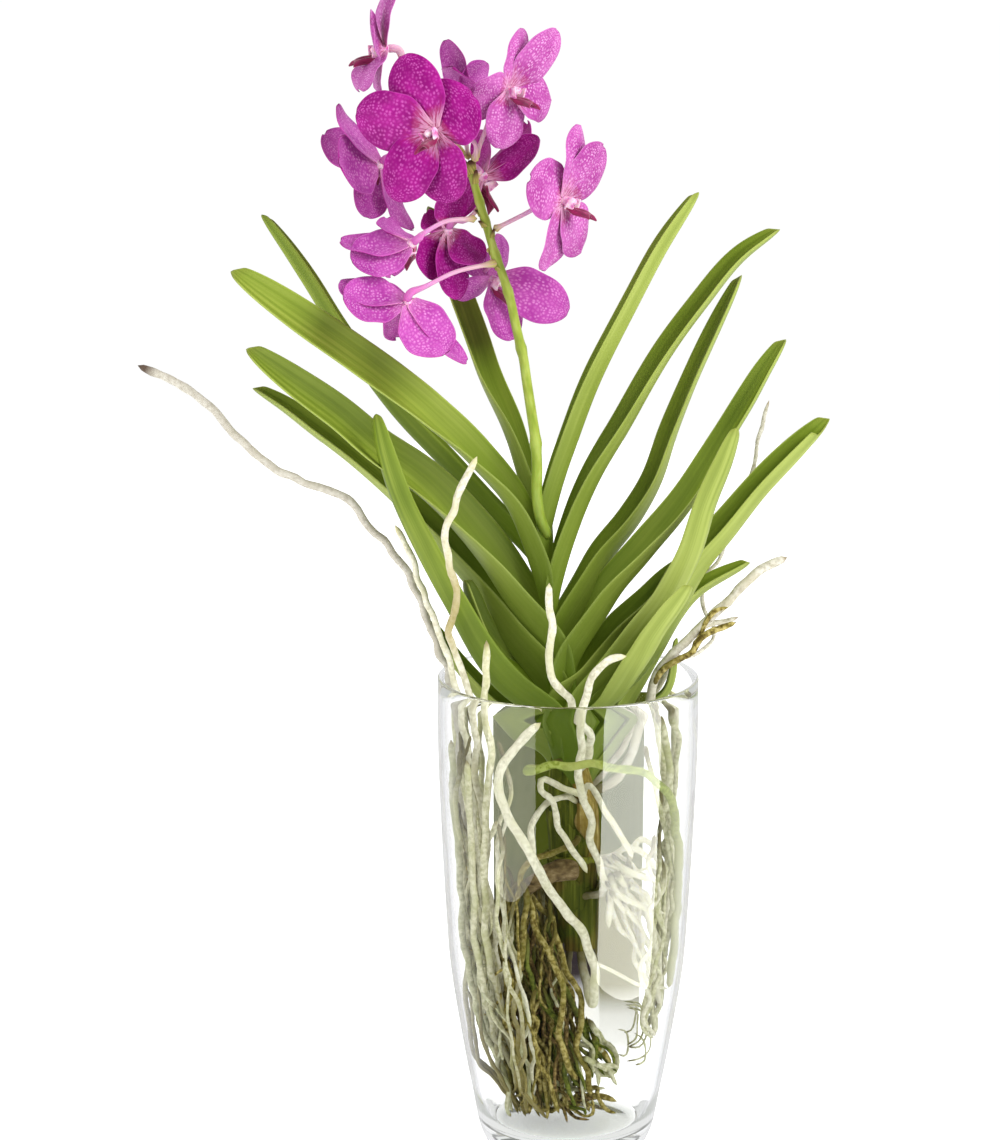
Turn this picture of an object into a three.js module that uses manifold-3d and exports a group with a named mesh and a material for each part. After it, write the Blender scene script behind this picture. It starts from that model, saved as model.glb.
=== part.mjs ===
// A vanda orchid in flower, standing bare-rooted in a tall clear glass vase.
// Millimetres, +Z up. The origin is the middle of the vase's underside, and -Y is the front.
import * as THREE from "three";
import { mergeVertices } from "three/addons/utils/BufferGeometryUtils.js";
import Module from "manifold-3d";

// Driving dimensions
const VASE_HEIGHT = 340;
const RIM_RADIUS = 90;
const WALL = 3.4;
const VASE_SIDES = 32;
const BASE_THICKNESS = 17;

const LEAF_HALF_WIDTH = 14;
const LEAF_THICKNESS = 1.8;
const LEAF_STATIONS = [0, 0.1, 0.21, 0.33, 0.46, 0.6, 0.73, 0.85, 0.94, 1];
const LEAF_BASE_OPENING = 75;
const LEAF_CLEARANCE = 0.5;
const NARROW_BASE = 0.14;
const BROAD_BASE = 0.5;

const TEPAL_STATIONS = [0, 0.3, 0.6, 0.85, 1];
const TEPAL_THICKNESS = 1;
const LIP_STATIONS = [0, 0.4, 0.75, 1];
const LIP_THICKNESS = 1.6;
const HUB_RADIUS = 3.9;
const COLUMN_LENGTH = 10;
const PEDICEL_RADIUS = 1.7;
const STALK_STEP = 12;

const THICK_ROOT = 3.2;
const FINE_ROOT = 2.2;
const THREAD_ROOT = 1.4;
const ROOT_STEP = 30;

const GAP = 0.35;

const wasm = await Module();
wasm.setup();

const vec = (x, y, z) => new THREE.Vector3(x, y, z);
const smooth = THREE.MathUtils.smoothstep;
const lerp = THREE.MathUtils.lerp;
const radians = THREE.MathUtils.degToRad;

// ---- Building blocks -------------------------------------------------------------------

// Skins a row of rings, each with the same even number of points, and closes both ends.
// The two halves of a ring are split into triangles alike, so a thin blade never crosses itself.
function loft(rings) {
  const count = rings[0].length;
  const half = count / 2;
  const position = rings.flat().flatMap((p) => [p.x, p.y, p.z]);
  const index = [];
  for (let k = 0; k + 1 < rings.length; k++) {
    for (let i = 0; i < count; i++) {
      const j = (i + 1) % count;
      const [a, b, c, d] = [k * count + i, k * count + j, (k + 1) * count + j, (k + 1) * count + i];
      if (i < half) index.push(a, b, c, a, c, d);
      else index.push(a, b, d, b, c, d);
    }
  }
  const last = (rings.length - 1) * count;
  for (let i = 0; i + 1 < half; i++) {
    const [a, b, c, d] = [i, i + 1, count - 2 - i, count - 1 - i];
    index.push(a, c, b, a, d, c);
    index.push(last + a, last + b, last + c, last + a, last + c, last + d);
  }
  const geometry = new THREE.BufferGeometry();
  geometry.setAttribute("position", new THREE.Float32BufferAttribute(position, 3));
  geometry.setIndex(index);
  return facingOut(geometry);
}

// Turns a closed mesh the right way round by the sign of its volume.
function facingOut(geometry) {
  const p = geometry.getAttribute("position");
  const index = geometry.index.array;
  const corner = [vec(), vec(), vec()];
  let volume = 0;
  for (let i = 0; i < index.length; i += 3) {
    corner.forEach((v, k) => v.fromBufferAttribute(p, index[i + k]));
    volume += corner[0].dot(corner[1].cross(corner[2]));
  }
  if (volume < 0) index.reverse();
  return geometry;
}

// A thin blade: a surface over u (-1 to 1, across) and v (0 to 1, along), given its thickness.
function sheet(surface, across, along, thickness) {
  const step = 0.01;
  const normalAt = (u, v) => {
    const du = surface(u + step, v).sub(surface(u - step, v));
    const dv = surface(u, Math.min(1, v + step)).sub(surface(u, Math.max(0, v - step)));
    return du.cross(dv).normalize();
  };
  return loft(
    along.map((v) => {
      const top = [];
      const under = [];
      for (const u of across) {
        const normal = normalAt(u, v).multiplyScalar(thickness / 2);
        top.push(surface(u, v).add(normal));
        under.unshift(surface(u, v).sub(normal));
      }
      return [...top, ...under];
    }),
  );
}

const curveOf = (points) => new THREE.CatmullRomCurve3(points.map((p) => vec(...p)));

// A closed tube along points, with a radius that may change along it.
function tube(points, radiusAt, sides, steps) {
  const curve = curveOf(points);
  const frames = curve.computeFrenetFrames(steps);
  const rings = [];
  for (let k = 0; k <= steps; k++) {
    const centre = curve.getPointAt(k / steps);
    const radius = radiusAt(k / steps);
    rings.push(
      Array.from({ length: sides }, (_, i) => {
        const turn = (2 * Math.PI * i) / sides;
        return centre
          .clone()
          .addScaledVector(frames.normals[k], radius * Math.cos(turn))
          .addScaledVector(frames.binormals[k], radius * Math.sin(turn));
      }),
    );
  }
  return loft(rings);
}

function solidOf(geometry) {
  const bare = geometry.clone();
  bare.deleteAttribute("normal");
  bare.deleteAttribute("uv");
  const merged = mergeVertices(bare, 1e-4);
  const vertProperties = new Float32Array(merged.getAttribute("position").array);
  const triVerts = new Uint32Array(merged.index.array);
  return new wasm.Manifold(new wasm.Mesh({ numProp: 3, vertProperties, triVerts }));
}

function geometryOf(solid) {
  const made = solid.getMesh();
  const geometry = new THREE.BufferGeometry();
  geometry.setAttribute("position", new THREE.BufferAttribute(made.vertProperties, 3));
  geometry.setIndex(new THREE.BufferAttribute(made.triVerts, 1));
  return geometry;
}

const fuse = (geometries) => geometryOf(geometries.map(solidOf).reduce((a, b) => a.add(b)));

// Cuts a piece clear of others, given a little fatter than they are, and keeps its largest body.
function clearOf(geometry, fatter) {
  const cut = fatter.map(solidOf).reduce((a, b) => a.subtract(b), solidOf(geometry));
  const bodies = cut.decompose().sort((a, b) => b.volume() - a.volume());
  return geometryOf(bodies[0]);
}

const plant = new THREE.Group();

function addMesh(name, geometry, material) {
  const mesh = new THREE.Mesh(geometry, material);
  mesh.name = name;
  plant.add(mesh);
}

const finish = (color, roughness) => new THREE.MeshStandardMaterial({ color, roughness, metalness: 0 });

// ---- Vase: blown clear glass, straight at the rim, narrowing to a thick flat base ------

const glass = finish(0xe8efee, 0.03);
glass.transparent = true;
glass.opacity = 0.3;

const OUTSIDE = [
  [50, 0],
  [55.5, 2],
  [59.5, 9],
  [62, 16],
  [66.5, 40],
  [70, 58],
  [82, 134],
  [85, 177],
  [RIM_RADIUS, 293],
  [RIM_RADIUS, VASE_HEIGHT - 1],
];

// The outer radius of the vase at a height.
function outerRadius(z) {
  const above = OUTSIDE.findIndex(([, height]) => height >= z);
  if (above < 1) return above === 0 ? OUTSIDE[0][0] : RIM_RADIUS;
  const [[r0, z0], [r1, z1]] = [OUTSIDE[above - 1], OUTSIDE[above]];
  return lerp(r0, r1, (z - z0) / (z1 - z0));
}

function vase() {
  const inside = [VASE_HEIGHT - 1, 293, 177, 134, 58, 32].map((z) => [outerRadius(z) - WALL, z]);
  const profile = [
    [0, 0],
    ...OUTSIDE,
    [RIM_RADIUS - WALL / 2, VASE_HEIGHT],
    ...inside,
    [52, BASE_THICKNESS + 1.5],
    [44, BASE_THICKNESS],
    [0, BASE_THICKNESS],
  ].map(([r, z]) => new THREE.Vector2(r, z));
  const lathe = new THREE.LatheGeometry(profile, VASE_SIDES).rotateX(Math.PI / 2);
  lathe.deleteAttribute("normal");
  lathe.deleteAttribute("uv");
  return facingOut(withoutSlivers(mergeVertices(lathe, 1e-3)));
}

// Drops the triangles that merging has folded to a line, which a lathe leaves on its axis.
function withoutSlivers(geometry) {
  const kept = [];
  const index = geometry.index.array;
  for (let i = 0; i < index.length; i += 3) {
    const [a, b, c] = index.slice(i, i + 3);
    if (a !== b && b !== c && c !== a) kept.push(a, b, c);
  }
  geometry.setIndex(kept);
  return geometry;
}

addMesh("vase", vase(), glass);

// ---- Stem: a leaning column of overlapping old leaf sheaths -----------------------------

const STEM_PATH = [
  [7, 0, 144],
  [5, 2, 192],
  [3, 3, 235],
  [0, 4, 278],
  [-5, 5, 321],
  [-11, 5, 364],
  [-16, 4, 403],
];
const STEM_SHEATHS = 13;
const stemCurve = curveOf(STEM_PATH);

// Half the stem's breadth, from its foot (0) to its growing tip (1).
const stemBreadth = (t) => lerp(15, 17, smooth(t, 0, 0.25)) - 8 * smooth(t, 0.35, 0.6) - 6 * smooth(t, 0.6, 1);

// The stem, or with a margin the space that other pieces keep out of.
function stem(margin = 0) {
  const sides = 8;
  const rings = [];
  for (let k = 0; k <= 2 * STEM_SHEATHS; k++) {
    const t = k / (2 * STEM_SHEATHS);
    const centre = stemCurve.getPoint(t);
    const flare = k % 2 ? 1 : 0.86;
    const lean = k % 4 === 1 ? -1 : k % 4 === 3 ? 1 : 0;
    const breadth = stemBreadth(t) * flare + margin;
    rings.push(
      Array.from({ length: sides }, (_, i) => {
        const turn = (2 * Math.PI * i) / sides;
        const x = centre.x + breadth * Math.cos(turn) + lean;
        return vec(x, centre.y + breadth * 0.76 * Math.sin(turn), centre.z);
      }),
    );
  }
  return loft(rings);
}

const stemSpace = stem(GAP);
addMesh("stem", stem(), finish(0x5a6a1c, 0.6));

// ---- Leaves: stiff straps folded to a V at the base, with bitten-off tips ---------------

const leafGreen = finish(0x76a034, 0.5);

// Half a leaf's breadth along it, as a share of the blade's: a clasping base, narrow on the young
// leaves and broad on the old ones, then a long taper to a rounded end.
function leafBreadth(t, base) {
  const end = Math.sqrt(Math.max(0, 1 - Math.max(0, (t - 0.62) / 0.42) ** 2));
  const fromBase = lerp(base, 1, smooth(t, 0, base < 1 ? NARROW_BASE : BROAD_BASE));
  return fromBase * end * lerp(1, 0.82, smooth(t, 0.3, 0.9));
}

// One leaf. points: its middle line from the stem to the tip. roll: how far the channel turns to
// the front. opening: the angle between its halves at the tip. half: half its breadth. base: its
// breadth at the stem, as a share. side: -1 for a left leaf, 1 for a right one.
function leaf({ points, side, roll, opening, half = LEAF_HALF_WIDTH, base = 0.95 }, margin = 0) {
  const curve = curveOf(points);
  const surface = (u, v) => {
    const bite = (1 - Math.abs(u)) * 0.012 + (u > 0 ? 0.014 * u : 0);
    const t = Math.min(1, Math.max(0, v - bite * v ** 14));
    const along = curve.getTangentAt(t);
    const away = vec(0, 1, 0).addScaledVector(along, -along.y).normalize();
    const inward = away.clone().cross(along).multiplyScalar(-side);
    const turn = radians(roll) * smooth(t, 0.05, 0.7);
    const far = away.clone().multiplyScalar(Math.cos(turn)).addScaledVector(inward, Math.sin(turn));
    const up = inward.clone().multiplyScalar(Math.cos(turn)).addScaledVector(away, -Math.sin(turn));
    const spread = radians(lerp(LEAF_BASE_OPENING, opening, smooth(t, 0, 0.8)) / 2);
    const width = half * leafBreadth(t, base) + margin;
    const [rise, reach] = [Math.cos(spread) * Math.cos(turn), Math.sin(spread) * Math.sin(Math.abs(turn))];
    const middle = (rise + reach + Math.min(0, rise - reach)) / 2;
    return curve
      .getPointAt(t)
      .addScaledVector(far, u * width * Math.sin(spread))
      .addScaledVector(up, Math.abs(u) * width * Math.cos(spread))
      .addScaledVector(inward, -middle * width * smooth(t, 0, 0.25));
  };
  return sheet(surface, [-1, 0, 1], LEAF_STATIONS, LEAF_THICKNESS + 2 * margin);
}

const LEFT_LEAVES = [
  {
    points: [
      [-16, 12, 399], [-43, 20, 441], [-78, 30, 480], [-117, 40, 520], [-154, 50, 569],
      [-178, 56, 607], [-193, 58, 629], [-211, 60, 653],
    ],
    roll: 0,
    opening: 78,
    half: 15,
    base: 0.6,
  },
  {
    points: [
      [-16, 1, 375], [-19, 0, 394], [-32, -4, 457], [-60, -12, 497], [-88, -18, 526],
      [-115, -24, 548], [-153, -30, 576], [-192, -36, 604], [-224, -40, 626],
    ],
    roll: 45,
    opening: 124,
    half: 18,
    base: 0.5,
  },
  {
    points: [
      [-14, 3, 333], [-17, 2, 356], [-39, -2, 409], [-64, -8, 447], [-94, -14, 481],
      [-128, -18, 505], [-154, -22, 528], [-183, -28, 550], [-215, -34, 574],
    ],
    roll: 48,
    opening: 105,
    half: 18,
    base: 1.4,
  },
  {
    points: [
      [-14, 7, 306], [-18, 8, 329], [-48, 14, 386], [-81, 18, 428], [-109, 22, 457],
      [-143, 25, 487], [-171, 27, 508], [-194, 28, 525], [-217, 28, 538],
    ],
    roll: 25,
    opening: 90,
    base: 1.9,
  },
  {
    points: [
      [-13, -3, 290], [-22, -5, 314], [-56, -18, 361], [-77, -25, 400], [-95, -30, 433],
      [-112, -34, 469], [-122, -38, 500], [-129, -40, 530],
    ],
    roll: -45,
    opening: 125,
    half: 13,
    base: 2.1,
  },
  {
    points: [
      [-15, 10, 419], [-26, 15, 467], [-37, 24, 508], [-51, 35, 540], [-65, 46, 577],
      [-81, 54, 619], [-95, 58, 659],
    ],
    roll: 45,
    opening: 115,
    base: 0.45,
  },
  {
    points: [[-16, 3, 300], [-39, 2, 343], [-55, 0, 370], [-70, -8, 410]],
    roll: 14,
    opening: 90,
    half: 15,
    base: 1.3,
  },
  {
    points: [[-16, 6, 280], [-59, 14, 326], [-82, 20, 353], [-97, 26, 374]],
    roll: 12,
    opening: 90,
    half: 12,
    base: 2,
  },
];

const RIGHT_LEAVES = [
  {
    points: [
      [-14, 1, 414], [-11, 1, 470], [-1, 0, 504], [14, -1, 545], [41, -3, 600], [61, -5, 638],
      [85, -6, 674],
    ],
    roll: 25,
    opening: 80,
    half: 14.5,
    base: 0.45,
  },
  {
    points: [
      [-8, -1, 369], [-8, -1, 392], [-2, 0, 435], [13, 4, 476], [36, 10, 516], [62, 18, 561],
      [89, 26, 597], [115, 32, 627], [144, 36, 646],
    ],
    roll: 12,
    opening: 100,
    half: 14.5,
    base: 0.6,
  },
  {
    points: [
      [-2, 3, 341], [-1, 5, 365], [20, 14, 418], [41, 22, 445], [57, 30, 471], [69, 38, 505],
      [83, 44, 539], [99, 50, 573], [119, 58, 612],
    ],
    roll: 20,
    opening: 119,
    half: 13.5,
    base: 1.3,
  },
  {
    points: [
      [3, -1, 325], [5, -2, 351], [24, -5, 398], [48, -9, 430], [75, -13, 465], [96, -15, 500],
      [116, -17, 534], [129, -19, 557], [143, -20, 578],
    ],
    roll: 27,
    opening: 114,
    half: 15,
    base: 1.3,
  },
  {
    points: [
      [8, -3, 296], [12, -6, 324], [43, -20, 373], [66, -32, 406], [80, -40, 434], [90, -47, 470],
      [101, -52, 499], [109, -56, 523],
    ],
    roll: -50,
    opening: 125,
    half: 13,
    base: 1.3,
  },
  {
    points: [
      [17, 4, 296], [56, 4, 364], [84, 8, 416], [106, 12, 442], [131, 16, 472], [157, 20, 498],
      [179, 24, 518],
    ],
    roll: 22,
    opening: 63,
    half: 19,
  },
  {
    points: [[19, 8, 273], [59, 16, 354], [87, 18, 395], [126, 20, 417]],
    roll: 15,
    opening: 90,
    half: 12,
  },
  {
    points: [[19, -6, 308], [39, -30, 350], [57, -50, 384], [79, -62, 418]],
    roll: -40,
    opening: 120,
  },
  {
    points: [[7, 6, 311], [14, 8, 333], [31, 16, 368], [55, 22, 392], [79, 26, 416]],
    roll: 20,
    opening: 95,
    base: 2.3,
  },
  {
    points: [[18, 10, 262], [48, 14, 308], [69, 14, 326], [75, 14, 364]],
    roll: 5,
    opening: 60,
    half: 6,
  },
];

const leafSpaces = [];

// Adds the leaves of one side, in order from the crown down, each clear of those before it.
function addLeaves(name, shapes, side) {
  shapes.forEach((shape, i) => {
    addMesh(`${name}_${i + 1}`, clearOf(leaf({ ...shape, side }), [stemSpace, ...leafSpaces]), leafGreen);
    leafSpaces.push(leaf({ ...shape, side }, LEAF_CLEARANCE));
  });
}

addLeaves("leaf_left", LEFT_LEAVES, -1);
addLeaves("leaf_right", RIGHT_LEAVES, 1);

// ---- Flower stem: a jointed round stalk with a small swelling under each flower stalk ---

const SPIKE_PATH = [
  [-22, -17, 471],
  [-22, -16, 490],
  [-23, -14, 507],
  [-25, -11, 520],
  [-27, -9, 533],
  [-29, -7, 546],
  [-31, -6, 560],
  [-34, -4, 573],
  [-37, -3, 586],
  [-40, -2, 600],
  [-46, -2, 619],
  [-51, -2, 633],
  [-56, 0, 650],
  [-60, 2, 663],
  [-64, 3, 677],
  [-67, 4, 691],
];
const SPIKE_STEPS = 24;

function flowerStem(margin = 0) {
  const radius = (t) => lerp(4, 2.7, t) * (1 + 0.16 * Math.max(0, Math.sin(t * 60)) * smooth(t, 0.55, 0.65));
  return tube(SPIKE_PATH, (t) => radius(t) + margin, 6, SPIKE_STEPS);
}

const flowerStemSpace = flowerStem(GAP);
addMesh("flower_stem", clearOf(flowerStem(), leafSpaces), finish(0x8fa347, 0.55));

// ---- Blooms: three sepals and two petals round a short column, with a narrow dark lip ---

const petalPink = finish(0xc23fae, 0.55);
const lipCrimson = finish(0x8a0f52, 0.5);

// Half the breadth of a tepal along it: a narrow claw, then a round blade with a blunt end.
function tepalBreadth(v) {
  const blade = v < 0.62 ? 1 : Math.sqrt(Math.max(0, 1 - ((v - 0.62) / 0.39) ** 2));
  return lerp(0.08, 1, smooth(v, 0.02, 0.58)) * blade + 0.03;
}

// A tepal of a bloom that faces front: from the bloom's centre to its tip at x, y, z, with half
// its breadth in mm and its twist about its own length in degrees.
function tepal(centre, front, [x, y, z, half, twist], wave) {
  const along = vec(x, y, z).sub(centre);
  const length = along.length();
  along.normalize();
  const face = front.clone().addScaledVector(along, -front.dot(along)).normalize();
  face.applyAxisAngle(along, radians(twist));
  const side = along.clone().cross(face);
  const surface = (u, v) => {
    const bow = 3.2 * Math.sin(Math.PI * v) + 1.4 * u * u * (Math.sin(5 * v + wave) - smooth(v, 0, 0.5));
    return centre
      .clone()
      .addScaledVector(along, 1.2 + (length - 1.2) * v)
      .addScaledVector(side, u * half * tepalBreadth(v))
      .addScaledVector(face, bow);
  };
  return sheet(surface, [-1, 0, 1], TEPAL_STATIONS, TEPAL_THICKNESS);
}

// The lip hangs forward under the column: a narrow strap with a ridge, spread at its forked end.
function lip(margin = 0) {
  const surface = (u, v) => {
    const half = 2.6 + 2 * smooth(v, 0.55, 0.95) + margin;
    const fork = 2 * (1 - Math.abs(u)) * v ** 6;
    const forward = lerp(4 - margin, 22 + margin, v) - fork;
    return vec(u * half, -6.5 - 4.5 * v * v - 1.6 * Math.abs(u), forward);
  };
  return sheet(surface, [-1, 0, 1], LIP_STATIONS, LIP_THICKNESS + 2 * margin);
}

// Each bloom: its centre, the way it faces, its five tepals (the upper sepal, the left and right
// petals, the lower sepals), and its stalk from the flower stem.
const BLOOMS = [
  {
    at: [-123, 0, 766],
    faces: [-0.93, -0.32, 0.05],
    tepals: [
      [-119, 0, 812, 14, 1], [-131, -28, 784, 15, -3], [-123, 30, 781, 15, 0],
      [-140, -14, 740, 14, -19], [-131, 22, 739, 14, 0],
    ],
    stalk: [[-71, 8, 694], [-92, 14, 729], [-111, 8, 758]],
  },
  {
    at: [-88, -38, 714],
    faces: [-0.5, -0.85, 0.02],
    tepals: [
      [-107, -34, 763, 17, 5], [-141, -28, 723, 19, -10], [-66, -46, 738, 17, -9],
      [-116, -34, 670, 17, -6], [-90, -44, 667, 15, 5],
    ],
    stalk: [[-64, 4, 691], [-63, -6, 703], [-71, -22, 710]],
  },
  {
    at: [-73, 46, 727],
    faces: [0.2, 0.9, 0.35],
    tepals: [
      [-83, 50, 770, 13, -36], [-56, 50, 755, 14, 53], [-79, 36, 753, 14, -37],
      [-88, 46, 716, 12, 0], [-73, 52, 711, 10, 0],
    ],
    stalk: [[-68, 10, 692], [-71, 26, 711]],
  },
  {
    at: [-41, -20, 740],
    faces: [0.75, -0.62, 0.05],
    tepals: [
      [-33, -20, 780, 14, 13], [-66, -36, 736, 16, -33], [-13, 4, 732, 16, -11],
      [-47, -26, 702, 15, 7], [-9, -8, 778, 15, 11],
    ],
    stalk: [[-64, 8, 692], [-56, 2, 714]],
  },
  {
    at: [-128, 24, 688],
    faces: [-0.72, 0.35, -0.6],
    tepals: [
      [-156, 20, 728, 13, 5], [-166, 40, 707, 15, -29], [-154, -6, 691, 19, -13],
      [-136, 14, 653, 14, 7], [-107, 32, 643, 13, 0],
    ],
    stalk: [[-67, 8, 687], [-98, 16, 689]],
  },
  {
    at: [-58, 26, 680],
    faces: [0.6, 0.2, -0.77],
    tepals: [
      [-28, 60, 713, 13, 6], [-20, 20, 705, 14, 24], [-63, 50, 707, 13, -26],
      [-89, 36, 655, 16, -31], [-60, 52, 658, 12, -12],
    ],
    stalk: [[-63, 4, 681], [-60, 14, 684]],
  },
  {
    at: [-5, -20, 668],
    faces: [0.88, -0.46, 0.02],
    tepals: [
      [6, -16, 717, 14, 1], [-27, -44, 684, 18, -7], [22, 0, 702, 17, 3], [-18, -28, 622, 14, -2],
      [7, -4, 631, 16, 7],
    ],
    stalk: [[-52, 2, 646], [-30, -8, 658]],
  },
  {
    at: [-105, -22, 640],
    faces: [-0.6, 0.65, -0.45],
    tepals: [
      [-153, -14, 640, 14, 31], [-145, -30, 629, 17, 23], [-123, 2, 654, 13, 9],
      [-120, -6, 617, 13, -15], [-140, 12, 630, 13, 0],
    ],
    stalk: [[-62, 0, 654], [-83, -10, 653], [-99, -20, 645]],
  },
  {
    at: [-108, -40, 604],
    faces: [-0.25, 0.75, -0.6],
    tepals: [
      [-150, -48, 607, 16, 2], [-153, -28, 615, 15, 22], [-83, -46, 569, 17, 4],
      [-116, -22, 577, 14, -41], [-69, -16, 560, 13, -27],
    ],
    stalk: [[-48, -3, 625], [-76, -14, 620], [-96, -28, 612]],
  },
  {
    at: [-82, 12, 645],
    faces: [-0.35, 0.45, -0.8],
    tepals: [
      [-76, 8, 674, 14, 19], [-97, 16, 656, 12, 1], [-58, 14, 625, 14, 10], [-93, 6, 612, 16, -25],
      [-75, 4, 599, 14, -10],
    ],
    stalk: [[-60, 6, 661], [-71, 12, 651]],
  },
  {
    at: [-52, 29, 610],
    faces: [0.75, -0.62, -0.2],
    tepals: [
      [-47, 37, 640, 13, 7], [-82, 35, 634, 14, 25], [0, 25, 589, 17, -26], [-39, 23, 569, 15, 3],
      [-83, 29, 601, 13, -23],
    ],
    stalk: [[-54, 2, 635], [-52, 12, 624]],
  },
];

// The bloom's own frame, where Z is the way it faces and Y runs to its upper sepal.
function bloomFrame(centre, front, upperSepal) {
  const z = front.clone();
  const x = upperSepal.clone().sub(centre).cross(z).normalize();
  const y = z.clone().cross(x);
  return new THREE.Matrix4().makeBasis(x, y, z).setPosition(centre);
}

// The stalk runs on through the bloom's centre as its column, thickest where the tepals meet.
function stalkAndColumn(centre, front, stalk) {
  const behind = centre.clone().addScaledVector(front, -9);
  const tip = centre.clone().addScaledVector(front, COLUMN_LENGTH);
  const points = [...stalk, behind.toArray(), centre.toArray(), tip.toArray()];
  const length = curveOf(points).getLength();
  const middle = 1 - COLUMN_LENGTH / length;
  const radius = (t) => {
    const hub = smooth(t, middle - 14 / length, middle);
    const point = smooth(t, middle, 1);
    return lerp(PEDICEL_RADIUS, HUB_RADIUS, hub) - 1.3 * point;
  };
  return tube(points, radius, 6, Math.max(5, Math.round(length / STALK_STEP)));
}

BLOOMS.forEach(({ at, faces, tepals, stalk }, i) => {
  const centre = vec(...at);
  const front = vec(...faces).normalize();
  const blades = tepals.map((one, k) => tepal(centre, front, one, i + 1.7 * k));
  const flower = fuse([stalkAndColumn(centre, front, stalk), ...blades]);
  const frame = bloomFrame(centre, front, vec(...tepals[0]));
  const name = `bloom_${String(i + 1).padStart(2, "0")}`;
  addMesh(name, clearOf(flower, [flowerStemSpace, lip(GAP).applyMatrix4(frame)]), petalPink);
  addMesh(`${name}_lip`, clearOf(lip().applyMatrix4(frame), [flowerStemSpace]), lipCrimson);
});

// ---- Roots: long fleshy air roots, spread in the vase and hanging out over its rim ------

const rootSilver = finish(0xd9d6bd, 0.8);
const rootOlive = finish(0x8d8f4a, 0.8);

// Moves a point that is inside the vase in from the glass, so that a root of that radius clears it.
function offTheGlass([x, y, z], radius) {
  if (z > VASE_HEIGHT + 6) return [x, y, z];
  const most = outerRadius(z) - WALL - radius - 1.4;
  const reach = Math.hypot(x, y);
  const share = reach > most ? most / reach : 1;
  return [x * share, y * share, Math.max(z, BASE_THICKNESS + radius + 1)];
}

// A root from where it leaves the plant to its tip, which narrows to a blunt point.
function root(points, radius) {
  const path = points.map((p) => offTheGlass(p, radius));
  const length = curveOf(path).getLength();
  const steps = Math.max(4, Math.round(length / ROOT_STEP));
  const sides = radius > 2.5 ? 6 : 4;
  return tube(path, (t) => radius * (1 - 0.55 * smooth(t, 1 - 14 / length, 1)), sides, steps);
}

function addRoots(name, roots, material) {
  const grown = roots.map(([radius, ...points]) => root(points, radius));
  addMesh(name, clearOf(fuse(grown), [stemSpace]), material);
}

addRoots(
  "root_long_left",
  [
    [THICK_ROOT, [4, 6, 150], [-4, 12, 107], [-22, 10, 74], [-43, 8, 78], [-58, 12, 129],
      [-67, 14, 173], [-73, 12, 225], [-75, 8, 277], [-78, 4, 321], [-85, 2, 348], [-95, 0, 375],
      [-108, -4, 408], [-132, -8, 444], [-155, -10, 468], [-189, -12, 482], [-222, -14, 507],
      [-255, -18, 541], [-289, -20, 558]],
  ],
  rootSilver,
);

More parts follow.
